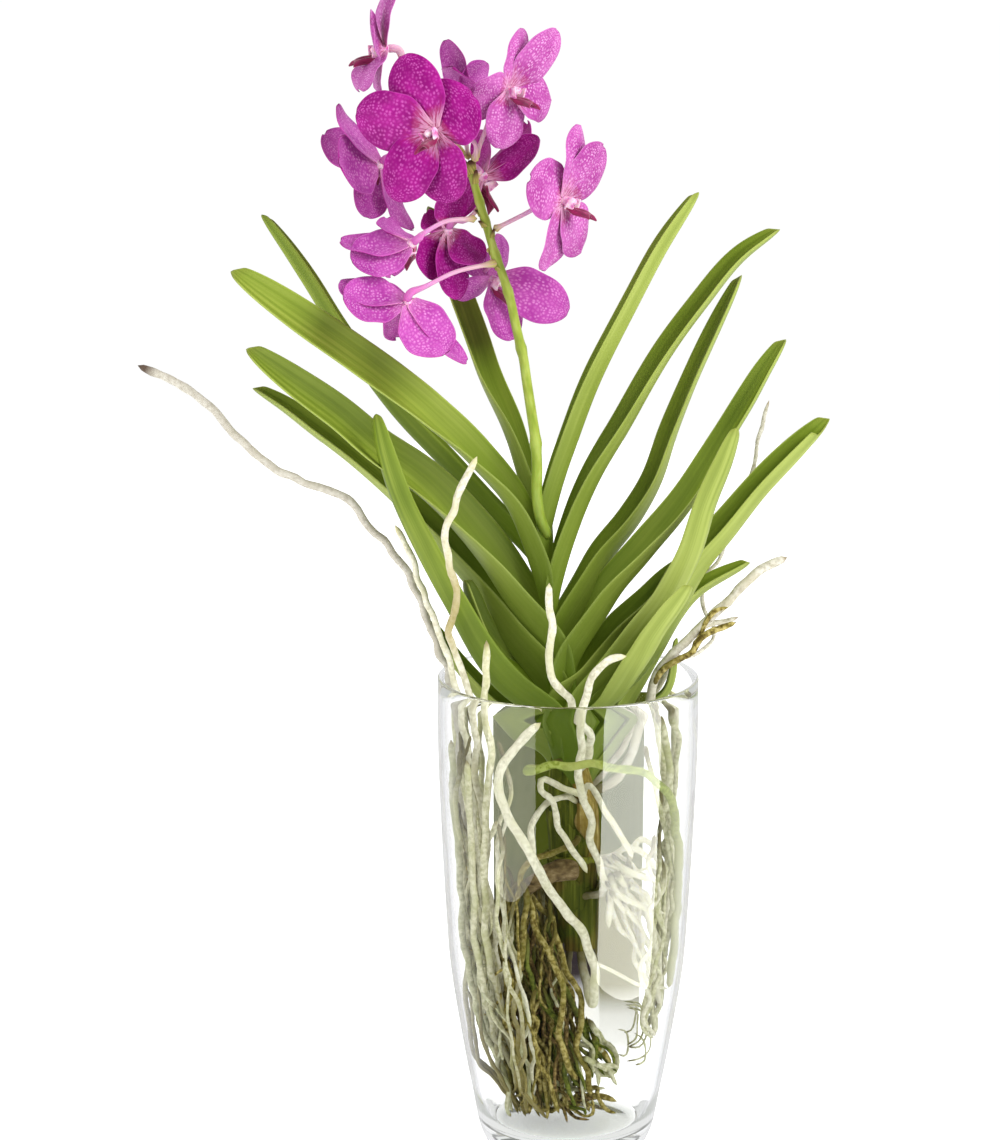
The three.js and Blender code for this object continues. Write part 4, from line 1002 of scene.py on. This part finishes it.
# ---- Roots ---------------------------------------------------------------------------------
# Fleshy air roots in a spongy silver coat, knobbly and bent; some climb out over the rim, and
# the greener ones hang down and tangle on the bottom of the vase. Each is a radius in mm and
# the points that it grew along.
ROOTS = {
    "root_long_left": ("root_silver", [
        (2.8, (4, 6, 150), (-4, 12, 107), (-22, 10, 74), (-43, 8, 78), (-58, 12, 129), (-67, 14, 173),
         (-73, 12, 225), (-75, 8, 277), (-78, 4, 321), (-85, 2, 348), (-95, 0, 375), (-108, -4, 408),
         (-132, -8, 444), (-155, -10, 468), (-189, -12, 482), (-222, -14, 507), (-255, -18, 541),
         (-289, -20, 558)),
    ]),
    "roots_left_and_floor": ("root_olive", [
        (2.2, (-30, -6, 36), (-36, -8, 62), (-47, -16, 110), (-55, -22, 163), (-61, -24, 214),
         (-65, -22, 257), (-70, -18, 299), (-76, -14, 333), (-83, -14, 358), (-91, -16, 383),
         (-101, -17, 411), (-109, -18, 432), (-118, -18, 449)),
        (2.5, (-30, -6, 36), (-34, -14, 72), (-47, -30, 137), (-54, -38, 190), (-58, -40, 241),
         (-62, -38, 283), (-66, -34, 324), (-72, -30, 350), (-79, -32, 364), (-82, -36, 379), (-77, -40, 394),
         (-77, -43, 412), (-82, -49, 435), (-82, -51, 451), (-72, -52, 482), (-62, -52, 502)),
        (2.5, (-26, -10, 40), (-41, -30, 93), (-51, -42, 141), (-56, -48, 193), (-57, -50, 244),
         (-53, -52, 287), (-54, -52, 315), (-56, -52, 343), (-56, -52, 377)),
        (2.2, (-30, -6, 36), (-54, 18, 74), (-67, 28, 124), (-75, 32, 167), (-82, 30, 220), (-84, 26, 272),
         (-83, 22, 317)),
        (2.2, (-30, -6, 36), (-38, 10, 55), (-53, 28, 93), (-66, 40, 142), (-74, 46, 200), (-75, 44, 260),
         (-74, 40, 312)),
        (2.2, (-30, -6, 36), (-53, -16, 76), (-65, -26, 121), (-73, -30, 166), (-79, -32, 217),
         (-82, -30, 259), (-82, -26, 301)),
        (2.2, (-26, -10, 40), (-38, -22, 64), (-52, -34, 101), (-63, -44, 149), (-71, -52, 202),
         (-74, -54, 252), (-72, -50, 293)),
        (2.2, (-30, -6, 36), (-51, -6, 69), (-62, -10, 115), (-68, -14, 160), (-62, -20, 206),
         (-49, -30, 245)),
        (2.2, (-30, -6, 36), (-33, 12, 53), (-43, 32, 84), (-54, 46, 132), (-63, 56, 189), (-65, 58, 248),
         (-64, 56, 308)),
        (2.2, (6, -6, 226), (8, -20, 228), (-4, -24, 224), (-19, -20, 216), (-32, -16, 206), (-33, -20, 199),
         (-39, -26, 175), (-44, -28, 147), (-41, -26, 113), (-37, -22, 75), (-26, -14, 42), (-14, -8, 23)),
        (2.2, (-33, -20, 199), (-28, -30, 187), (-30, -34, 167), (-32, -34, 142), (-34, -32, 123),
         (-29, -30, 96), (-21, -26, 73), (-18, -20, 40)),
        (2.2, (-33, -20, 199), (-22, -16, 165), (-18, -14, 138), (-22, -14, 116), (-27, -10, 93),
         (-20, -6, 61), (-10, -4, 32)),
        (2.2, (-33, -20, 199), (-19, -32, 161), (-6, -36, 140), (-3, -36, 125), (-6, -34, 97), (-3, -30, 73),
         (8, -26, 54)),
        (2.2, (-33, -20, 199), (-13, -8, 169), (-6, -18, 151), (-1, -20, 133), (8, -22, 119), (10, -22, 101),
         (8, -20, 70), (14, -18, 58), (18, -14, 37)),
        (2.2, (-18, -14, 138), (-10, -4, 126), (0, -4, 113), (3, -8, 104), (11, -10, 94), (14, -10, 80),
         (22, -8, 69), (32, -4, 56)),
        (2.2, (11, -10, 94), (24, 2, 76), (36, 4, 63), (38, 2, 55), (33, -2, 49), (18, -6, 54)),
        (2.2, (-33, -20, 199), (-47, -14, 160), (-50, -12, 121), (-47, -8, 92), (-41, -4, 59), (-30, 0, 33),
         (-13, 2, 22)),
        (2.2, (-44, -28, 147), (-39, -38, 129), (-43, -36, 110), (-39, -32, 82), (-30, -26, 54),
         (-20, -20, 34)),
        (2.2, (-14, -8, 23), (1, -4, 27), (15, 0, 32), (36, -6, 31)),
        (1.4, (1, -4, 27), (10, -14, 24), (19, -18, 24), (18, -14, 37)),
    ]),
    "root_diagonal": ("root_silver", [
        (3.2, (8, -2, 150), (12, -14, 128), (16, -30, 112), (19, -40, 126), (16, -44, 148), (9, -50, 174),
         (-3, -54, 187), (-14, -58, 207), (-29, -60, 236), (-41, -58, 257), (-48, -56, 274), (-45, -52, 290),
         (-33, -46, 305), (-19, -40, 317)),
        (1.4, (16, -44, 148), (33, -34, 136), (51, -26, 125), (70, -18, 119)),
    ]),
    "root_hoop": ("root_olive", [
        (2.8, (-4, -6, 280), (-22, -30, 283), (-30, -50, 286), (-20, -66, 292), (20, -72, 295),
         (47, -66, 289), (67, -52, 273), (78, -36, 240), (80, -26, 201), (78, -18, 154), (72, -14, 118)),
    ]),
    "root_centre": ("root_silver", [
        (2.7, (4, -4, 270), (12, -22, 288), (13, -34, 308), (1, -40, 328), (-10, -44, 347), (-13, -46, 376),
         (-14, -46, 415)),
    ]),
    "root_elbow": ("root_silver", [
        (2.7, (8, -4, 182), (24, -18, 192), (20, -29, 214), (15, -36, 240), (11, -42, 263), (7, -46, 285),
         (7, -50, 307), (9, -52, 331), (15, -54, 351), (28, -56, 364), (38, -56, 367)),
    ]),
    "roots_middle": ("root_silver", [
        (2.2, (8, -4, 250), (10, -22, 262), (-6, -30, 268), (-19, -40, 278), (-14, -42, 263), (-5, -42, 241),
         (5, -40, 225), (13, -36, 209)),
        (2.2, (8, -4, 250), (15, -26, 268), (20, -32, 262), (33, -38, 239), (44, -38, 220)),
        (2.2, (8, -4, 250), (-2, -24, 262), (-12, -34, 260), (-22, -40, 250), (-24, -42, 234),
         (-23, -40, 222)),
    ]),
    "roots_right_high": ("root_silver", [
        (3.2, (8, 2, 252), (35, 0, 268), (47, -2, 294), (55, -4, 320), (60, -9, 337), (69, -12, 355),
         (85, -12, 372), (108, -8, 394), (133, 0, 414), (150, 4, 422)),
        (1.4, (60, -9, 337), (70, -2, 352), (80, 12, 350), (90, 24, 350), (98, 32, 354), (104, 34, 361),
         (99, 36, 370), (95, 38, 380), (96, 40, 394), (101, 40, 405), (108, 40, 424), (123, 42, 463),
         (130, 42, 494), (136, 42, 514), (139, 42, 525)),
        (2.2, (8, 2, 252), (36, 22, 276), (54, 30, 304), (66, 28, 328), (75, 24, 346), (84, 22, 357),
         (94, 24, 367), (106, 26, 371), (119, 26, 375)),
    ]),
    "roots_right_wall": ("root_silver", [
        (2.2, (8, 2, 208), (27, -6, 213), (44, -24, 223), (58, -28, 217), (64, -26, 201), (60, -22, 171),
         (60, -14, 136), (66, -4, 101)),
        (2.2, (27, -5, 213), (38, -20, 207), (53, -26, 203), (63, -27, 202)),
        (2.2, (25, -4, 212), (31, -22, 194), (28, -28, 166)),
        (2.2, (21, -2, 211), (42, -8, 195), (54, -6, 177), (62, -4, 152), (66, 2, 125), (66, 8, 97)),
        (2.2, (29, -14, 203), (35, -30, 193), (53, -36, 186), (66, -32, 179)),
        (2.2, (42, -8, 195), (51, 4, 222), (64, 12, 204), (64, 14, 174), (61, 12, 137), (66, 8, 100)),
        (3.2, (66, 6, 94), (68, 14, 128), (73, 20, 170), (76, 24, 206), (80, 28, 242), (82, 29, 267),
         (81, 29, 293), (77, 30, 312), (72, 28, 322)),
    ]),
}
ROOT_FLOOR, OVER_THE_RIM = 18, 346
CLEAR_OF_GLASS = 1.4


def inner_radius(z):
    """The radius of the vase's inside at a height, in mm."""
    above = [point.x / MM for point in inside_line if point.z / MM >= z]
    return above[-1] if above else VASE_INSIDE[0][0]


def off_the_glass(point, radius):
    """Moves a point that is inside the vase in from its wall and up from its floor."""
    x, y, z = point
    if z > OVER_THE_RIM:
        return point
    most = inner_radius(z) - radius - CLEAR_OF_GLASS
    share = min(1, most / max(1, math.hypot(x, y)))
    return (x * share, y * share, max(z, ROOT_FLOOR + radius))


def root(radius, points, seed):
    """A knobbly tube that strays a little from its path, tapers and ends round."""
    path = Path([off_the_glass(p, radius) for p in points])
    length = path.length / MM
    count = max(4, round(length / 10))
    bent = []
    for k in range(count + 1):
        share = k / count
        loose = (3.4 if radius < 3 else 2.0) * smooth(share, 0, 0.06) * (1 - smooth(share, 0.92, 1))
        spots = [Vector((k * 0.62, seed * 7.3, 9 * axis + 2.5)) for axis in range(3)]
        stray = Vector([noise.noise(spot) for spot in spots]) * loose
        bent.append(off_the_glass(path.at(share) / MM + stray, radius))

    def radius_at(t, around):
        taper = 1 - 0.35 * smooth(t, 1 - 10 / length, 1)
        here = t * length
        knobs = 0.16 * noise.noise(Vector((here / 8, seed * 3.3, 0)))
        knobs += 0.3 * noise.noise(Vector((here / 3.5, seed * 1.7, 4))) / radius
        return radius * taper * (1 + knobs) * MM

    sides, step = (10, 0.0035) if radius > 2 else (7, 0.003)
    return tube(bent, radius_at, sides=sides, step=step)


def root_coat():
    """A spongy coat, blotched with another tint, brown at its foot and darker at its tip; a
    share of it may turn to one more colour."""
    group = Effect(
        "root_coat", dict(UV="Vector", Object="Vector", Pale="Color", Mid="Color", Dark="Color", Tint="Color",
                          Tip="Color", Foot="Float", Share="Float", Late="Color"),
        dict(Color="Color", Height="Float"))
    uv, place, pale, mid, dark, tint, tip, foot, share, late = group.given[:10]
    along = group.node("SeparateXYZ", {0: uv}).outputs[1]
    wrinkles = group.noise(place, 330.0, 2)
    patches = group.noise(place, 48.0, 3)
    colour = group.layers(
        group.bands(wrinkles, (0.32, dark), (0.5, mid), (0.62, pale)),
        (group.fade(patches, 0.48, 0.66, 0.0, 0.75), tint), (share, late),
        (group.fade(along, 0.05, foot, 0.9, 0.0), rgb(92, 84, 36)),
        (group.fade(along, 0.98, 0.992, 0.0, 0.9), tip))
    group.give(Color=colour, Height=wrinkles)
    return group


ROOT_COAT = root_coat()


def root_finish(name, pale, mid, dark, tint, tip, foot=0.14, late=None, marks=((0.4, 0.0), (0.75, 0.85))):
    """A root's skin; late is a colour that it turns to along its length, by the marks."""
    skin = Finish(name, Roughness=0.8, Specular_IOR_Level=0.3)
    values = dict(Pale=rgb(*pale), Mid=rgb(*mid), Dark=rgb(*dark), Tint=rgb(*tint), Tip=rgb(*tip), Foot=foot)
    if late:
        values.update(Late=rgb(*late), Share=skin.ramp(skin.axis("UV", 1), *marks))
    coat = skin.effect(ROOT_COAT, **values)
    skin.paint(coat["Color"])
    skin.bump(coat["Height"], 0.35, 0.0009)
    return skin.material


SILVER = root_finish(
    "root_silver_velamen", (228, 225, 206), (217, 213, 190), (194, 190, 164), (200, 198, 160),
    (206, 200, 156))
LONG = root_finish(
    "root_silver_dark_tip", (198, 194, 182), (190, 185, 172), (174, 168, 154), (181, 175, 159), (72, 50, 36))
# A darker, greyer copy of the silver coat: painted shade for the high roots on the right.
SHADED = root_finish(
    "root_silver_painted_shade", (206, 202, 188), (194, 190, 174), (166, 160, 140), (180, 174, 148),
    (140, 126, 98))
CLIMBING = root_finish(
    "root_silver_tan_bend", (226, 222, 204), (214, 210, 186), (190, 184, 156), (202, 196, 160),
    (206, 200, 156), late=(158, 142, 78), marks=((0.68, 0.0), (0.74, 0.8), (0.8, 0.7), (0.86, 0.0)))
GREY = root_finish(
    "root_grey_green", (218, 216, 188), (200, 198, 164), (164, 164, 124), (172, 174, 122), (150, 140, 96))
WALL = root_finish(
    "root_silver_wall", (228, 224, 200), (212, 208, 178), (182, 180, 142), (188, 188, 138), (150, 140, 96),
    foot=0.4)
HANGING = root_finish(
    "root_silver_olive_end", (226, 222, 196), (208, 204, 172), (176, 174, 134), (184, 184, 132),
    (110, 100, 50), late=(120, 106, 44))
HOOP = root_finish(
    "root_hoop_green", (160, 172, 88), (136, 150, 60), (104, 118, 36), (166, 172, 96), (180, 176, 120),
    late=(206, 206, 168))
OLIVE = root_finish(
    "root_olive_wet", (188, 174, 112), (146, 132, 68), (84, 70, 26), (112, 106, 38), (80, 70, 24))
GREEN = root_finish(
    "root_green_wet", (120, 128, 48), (92, 102, 30), (60, 70, 16), (138, 140, 74), (72, 80, 20))
BROWN = root_finish(
    "root_brown_dead", (150, 126, 78), (108, 88, 48), (58, 44, 20), (78, 74, 30), (40, 28, 14))
SKINS = {
    "root_hoop": [HOOP], "root_long_left": [LONG], "roots_right_high": [SHADED],
    "roots_left_and_floor": [
        SILVER, CLIMBING, WALL, WALL, WALL, GREY, WALL, GREY, WALL, *[OLIVE] * 5, GREEN, GREY, *[OLIVE] * 4],
}
draw = random.Random(20)


def wander(start, end, wiggle, step=16):
    """Points on the way from start to end, each strayed a little, in mm."""
    start, end = Vector(start), Vector(end)
    count = max(3, round((end - start).length / step))
    points = []
    for k in range(count + 1):
        loose = wiggle * math.sin(math.pi * min(1, (k + 0.4) / count))
        stray = Vector([draw.uniform(-1, 1) for _ in range(3)]) * loose
        points.append(tuple(start.lerp(end, k / count) + stray))
    return points


def at_wall(angle, z, inset):
    """A point that far in from the glass, at an angle from the right, in mm."""
    turn = math.radians(angle)
    reach = inner_radius(z) - inset
    return Vector((reach * math.cos(turn), reach * math.sin(turn), z))


def wall_root(angle, high, low, inset, drift, foot):
    """Points down the inside of the glass, turning by drift degrees, to a foot on the floor."""
    points = []
    for k in range(8):
        z = blend(high, low, k / 7)
        points.append(at_wall(angle + drift * k / 7 + draw.uniform(-6, 6), z, inset + draw.uniform(-2, 7)))
    return [tuple(p) for p in points] + [foot]


def spot(*spans):
    return tuple(draw.uniform(*span) for span in spans)


def stray_root(skins, girths, start, end, wiggle, step, follow=(0, 0)):
    """A fine root from anywhere in one box to anywhere in another, which may lie under the
    start by a share of its place across and in depth."""
    top, low = spot(*start), spot(*end)
    low = (top[0] * follow[0] + low[0], top[1] * follow[1] + low[1], low[2])
    skin = draw.choice(skins) if len(skins) > 1 else skins[0]
    return skin, draw.uniform(*girths), wander(top, low, wiggle, step)


# Fine roots, each a finish, a radius and its points: first those along the left of the glass.
left, right = [], []
for n in range(30):
    high = draw.uniform(150, 318)
    line = wall_root(
        draw.uniform(148, 236), high, draw.uniform(46, 96), draw.uniform(3, 18), draw.uniform(-26, 30),
        spot((-40, -4), (-26, 24), (20, 30)))
    skin = draw.choice([HANGING, SILVER, HANGING, HANGING] if high > 240 else [HANGING, GREY, OLIVE, HANGING])
    girth = draw.uniform(0.9, 2.1)
    if n % 3:
        left.append((skin, girth, line))
for n in range(16):
    start = at_wall(draw.uniform(165, 235), draw.uniform(120, 250), 10)
    end = at_wall(draw.uniform(165, 240), draw.uniform(70, 160), 16)
    left.append((draw.choice([GREY, SILVER, OLIVE]), draw.uniform(0.7, 1.3), wander(start, end, 9, 12)))

# The mass that hangs down to the floor, browner at its back and heart, partly dead roots and
# partly painted shade deep in the tangle, and what lies there.
for n in range(78):
    if n % 3:
        skins, depth = [OLIVE, OLIVE, GREY, BROWN, GREEN], (-34, 4)
    else:
        skins, depth = [BROWN, BROWN, OLIVE], (4, 30)
    left.append(stray_root(skins, (0.9, 1.9), ((-52, -4), depth, (118, 196)),
                           ((-16, 26), (-10, 10), (20, 46)), 5.5, 15, follow=(0.55, 0.8)))
left += [
    stray_root([BROWN, BROWN, OLIVE], (1.6, 2.8), ((-38, -6), (0, 26), (90, 150)),
               ((-10, 14), (-8, 8), (20, 40)), 4, 18, follow=(0.6, 1)) for _ in range(26)]
left += [
    stray_root([OLIVE, BROWN, GREEN, GREY], (0.9, 1.7), ((-26, 22), (-26, 20), (22, 60)),
               ((-20, 36), (-30, 26), (20, 40)), 5, 9) for _ in range(16)]

# The silver ones on the right, along the glass, with small curls at their lower end.
right += [
    stray_root([SILVER], (1.2, 2.1), ((22, 42), (-32, 6), (186, 226)),
               ((50, 70), (-32, 16), (106, 216)), 4, 14) for _ in range(15)]
for n in range(9):
    line = wall_root(
        draw.uniform(-42, 38), draw.uniform(200, 300), draw.uniform(90, 150), draw.uniform(4, 12),
        draw.uniform(-10, 10), tuple(at_wall(draw.uniform(-30, 30), 84, 8)))
    right.append((draw.choice([SILVER, GREY, GREY]), draw.uniform(1.2, 2.3), line))
for n in range(7):
    middle = Vector(spot((40, 50), (-18, 4), (72, 96)))
    curl, swing = draw.uniform(5, 14), draw.uniform(1.6, 2.3)
    loop = []
    for a in (-1, -0.6, -0.2, 0.2, 0.6, 1):
        rise = 1.5 * curl * math.sin(a * swing + draw.uniform(-0.2, 0.2))
        loop.append(tuple(middle + Vector((curl * math.cos(a * swing), 6 * a, rise))))
    right.append((GREY, 0.7, loop))
left += [
    stray_root([GREEN, GREEN, OLIVE, GREY], (1.1, 2.2), ((4, 20), (-24, -4), (66, 96)),
               ((18, 38), (-24, -2), (44, 68)), 5, 9) for _ in range(12)]
right += [
    (GREY, 2.6, [(60, -20, 318), (68, -16, 290), (70, -10, 262), (66, -6, 236)]),
    (GREY, 2.2, [(72, -8, 322), (76, 0, 290), (74, 8, 250), (70, 12, 215)]),
    (GREY, 3.0, [(58, 6, 322), (64, 2, 296), (68, -4, 268), (72, -8, 240), (70, -6, 205)]),
    (GREY, 1.8, [(52, -34, 300), (62, -30, 262), (70, -26, 222), (72, -20, 180), (69, -14, 140)]),
]
FINE_ROOTS = {"roots_left_and_floor": left, "roots_right_wall": right, "roots_right_high": [
    (OLIVE, 2.2, [(58, -8, 334), (68, -15, 350), (80, -17, 360), (92, -18, 372), (104, -20, 380),
                  (114, -20, 382)]),
    (OLIVE, 1.7, [(84, -16, 364), (92, -14, 378), (102, -14, 389), (109, -14, 391)]),
]}

for name, (slot, grown) in ROOTS.items():
    skins = SKINS.get(name, [SILVER])
    thick = [(skins[min(k, len(skins) - 1)], *one) for k, one in enumerate(grown)]
    tubes = []
    for first_seed, roots in ((0, [(skin, radius, points) for skin, radius, *points in thick]),
                              (40, FINE_ROOTS.get(name, []))):
        for seed, (skin, radius, points) in enumerate(roots, first_seed):
            tubes.append(root(radius, points, seed))
            tubes[-1].data.materials.append(skin)
    bundle = join(tubes)
    shade(bundle, name + "_grown")
    piece(bundle, slot, name)

# ---- Floor and light -----------------------------------------------------------------------
# A white studio table under a big soft light from the right, a weaker one from the left, and
# even white all round. The table glows faintly away from the vase, painted light that keeps the
# plant's shadows off it, and leaves its first reflection in the glass clear.
FLOOR_RADIUS = 3.0
bpy.ops.mesh.primitive_circle_add(vertices=96, radius=FLOOR_RADIUS, fill_type="NGON", location=(0, 0, 0))
floor = bpy.context.object
floor_skin = Finish("floor_white", Roughness=0.6)
floor_skin.material.cycles.emission_sampling = "NONE"
clouds = floor_skin.noise(floor_skin.where("Object"), 3.0, 3)
floor_skin.paint(floor_skin.ramp(clouds, (0.0, 0.82), (1.0, 0.86)))
away = floor_skin.node("VectorMath", {0: floor_skin.where("Object")}, operation="LENGTH").outputs["Value"]
# Painted light: the table emits white, less round the foot of the vase.
floor_skin.paint((1, 1, 1, 1), "Emission Color")
floor_skin.paint(floor_skin.fade(away, 0.045, 0.07, 0.405, 0.9), "Emission Strength")
mirrored_once = floor_skin.math("COMPARE", floor_skin.node("LightPath").outputs["Glossy Depth"], 1.0, 0.5)
unlit = floor_skin.node("BsdfTransparent")
floor_skin.surface(floor_skin.node("MixShader", {0: mirrored_once, 1: floor_skin.shader, 2: unlit}))
shade(floor, "floor", floor_skin.material)
floor.visible_glossy = False


def softbox(name, azimuth, elevation, distance, width, height, power, tint=(1, 1, 1)):
    """A soft light that faces the plant; azimuth 0 is in front and 90 to the right."""
    turn, lift = math.radians(azimuth), math.radians(elevation)
    goal = Vector((0, 0, 0.4))
    level = math.cos(lift)
    away = Vector((math.sin(turn) * level, -math.cos(turn) * level, math.sin(lift))) * distance
    bpy.ops.object.light_add(type="AREA", location=goal + away)
    light = bpy.context.object
    light.name = name
    light.rotation_euler = away.to_track_quat("Z", "Y").to_euler()
    light.data.shape = "RECTANGLE"
    light.data.size, light.data.size_y = width, height
    light.data.energy = power
    light.data.color = tint
    return light


for name, azimuth, elevation, distance, width, height, power in (
        ("key", 50, 35, 1.8, 1.1, 1.4, 40), ("fill", -62, 22, 2.0, 1.4, 1.6, 25),
        ("top", 150, 60, 1.8, 1.2, 1.2, 12)):
    softbox(name, azimuth, elevation, distance, width, height, power).visible_glossy = False

# Two strips shine on the vase alone and draw the pale bands on its glass.
glass_only = bpy.data.collections.new("glass_only")
glass_only.objects.link(vase)
for name, azimuth, elevation, width, power, tint in (
        ("strip_right", 58, -10, 2.1, 138, (1, 1, 0.96)),
        ("strip_left", -51.5, -1, 1.65, 41, (1, 0.98, 0.88))):
    strip = softbox(name, azimuth, elevation, 2.0, width, 2.0, power, tint)
    strip.light_linking.receiver_collection = glass_only
    strip.visible_diffuse = False
    strip.visible_transmission = False

# A dark flag stands close behind the glass and is seen only through it, to give it its tones:
# a glowing sheet of painted shade and painted reflection in olive, brown and purple-black,
# paler beside the stem.
FLAG_MIDDLE, FLAG_DEPTH, FLAG_WIDTH, FLAG_HEIGHT = 0.004, 0.13, 0.118, 0.295
flag = grid(8, 20, lambda u, v: Vector((FLAG_MIDDLE + u * FLAG_WIDTH / 2, FLAG_DEPTH, FLAG_HEIGHT * v)))
flag_skin = Finish("flag_painted_shade", Base_Color=(0, 0, 0, 1), Roughness=1.0, Specular_IOR_Level=0.0,
                   Emission_Strength=1.0)
across, up = flag_skin.axis("UV", 0), flag_skin.axis("UV", 1)
beside_stem = flag_skin.fade(across, 0.66, 0.72)
tones = flag_skin.ramp(
    up, (0.16, rgb(150, 142, 98)), (0.24, rgb(60, 52, 56)), (0.36, rgb(48, 42, 48)),
    (0.5, rgb(66, 70, 32)), (0.58, rgb(76, 84, 24)), (1.0, rgb(70, 82, 20)))
paler = flag_skin.ramp(up, (0.4, rgb(126, 122, 72)), (0.62, rgb(76, 84, 24)))
flag_skin.paint(flag_skin.mix(beside_stem, tones, paler), "Emission Color")
whole = flag_skin.ramp(up, (0.0, 0.0), (0.08, 0.4), (0.19, 0.5), (0.26, 1.0))
longer = flag_skin.ramp(up, (0.0, 0.0), (0.08, 0.45), (0.15, 0.55), (0.23, 1.0))
flag_skin.paint(flag_skin.math("MAXIMUM", whole, flag_skin.product(longer, beside_stem)), "Alpha")
flag_skin.material.cycles.emission_sampling = "NONE"
shade(flag, "flag", flag_skin.material)
flag.visible_camera = flag.visible_diffuse = flag.visible_glossy = flag.visible_shadow = False

# All round it is white to the camera and through the glass, fading where the ceiling would
# be; it lights the plant weakly, and the glass mirrors it darker in front than behind.
SKY = 0.3
world = bpy.data.worlds.new("studio")
scene.world = world
world.use_nodes = True
world.cycles.sampling_method = "NONE"
sky = Tree(world.node_tree)
seen = sky.node("LightPath").outputs
deep = sky.math("GREATER_THAN", seen["Glossy Depth"], 1.5)
once = sky.math("SUBTRACT", sky.math("GREATER_THAN", seen["Glossy Depth"], 0.5), deep)
mirror = sky.math("MAXIMUM", once, seen["Is Glossy Ray"])
through_glass = sky.math("MULTIPLY", seen["Is Transmission Ray"], sky.math("SUBTRACT", 1.0, once))
bright = sky.math("MAXIMUM", sky.math("MAXIMUM", seen["Is Camera Ray"], through_glass), deep)
axes = sky.node("SeparateXYZ", {0: sky.node("TexCoord").outputs["Generated"]}).outputs
ceiling = sky.fade(axes[2], 0.25, 0.7, 1.02, 0.45)
open_sky = sky.math("MAXIMUM", ceiling, seen["Is Camera Ray"])
mirrored = sky.fade(axes[1], -0.2, 0.6, 0.02, 0.9)
soft = sky.math("MULTIPLY_ADD", mirror, sky.math("SUBTRACT", mirrored, SKY), SKY)
lit = sky.math("MULTIPLY_ADD", bright, sky.math("SUBTRACT", open_sky, soft), soft)
background = sky.tree.nodes["Background"]
background.inputs[0].default_value = (1, 1, 1, 1)
sky.feed(lit, background.inputs[1])
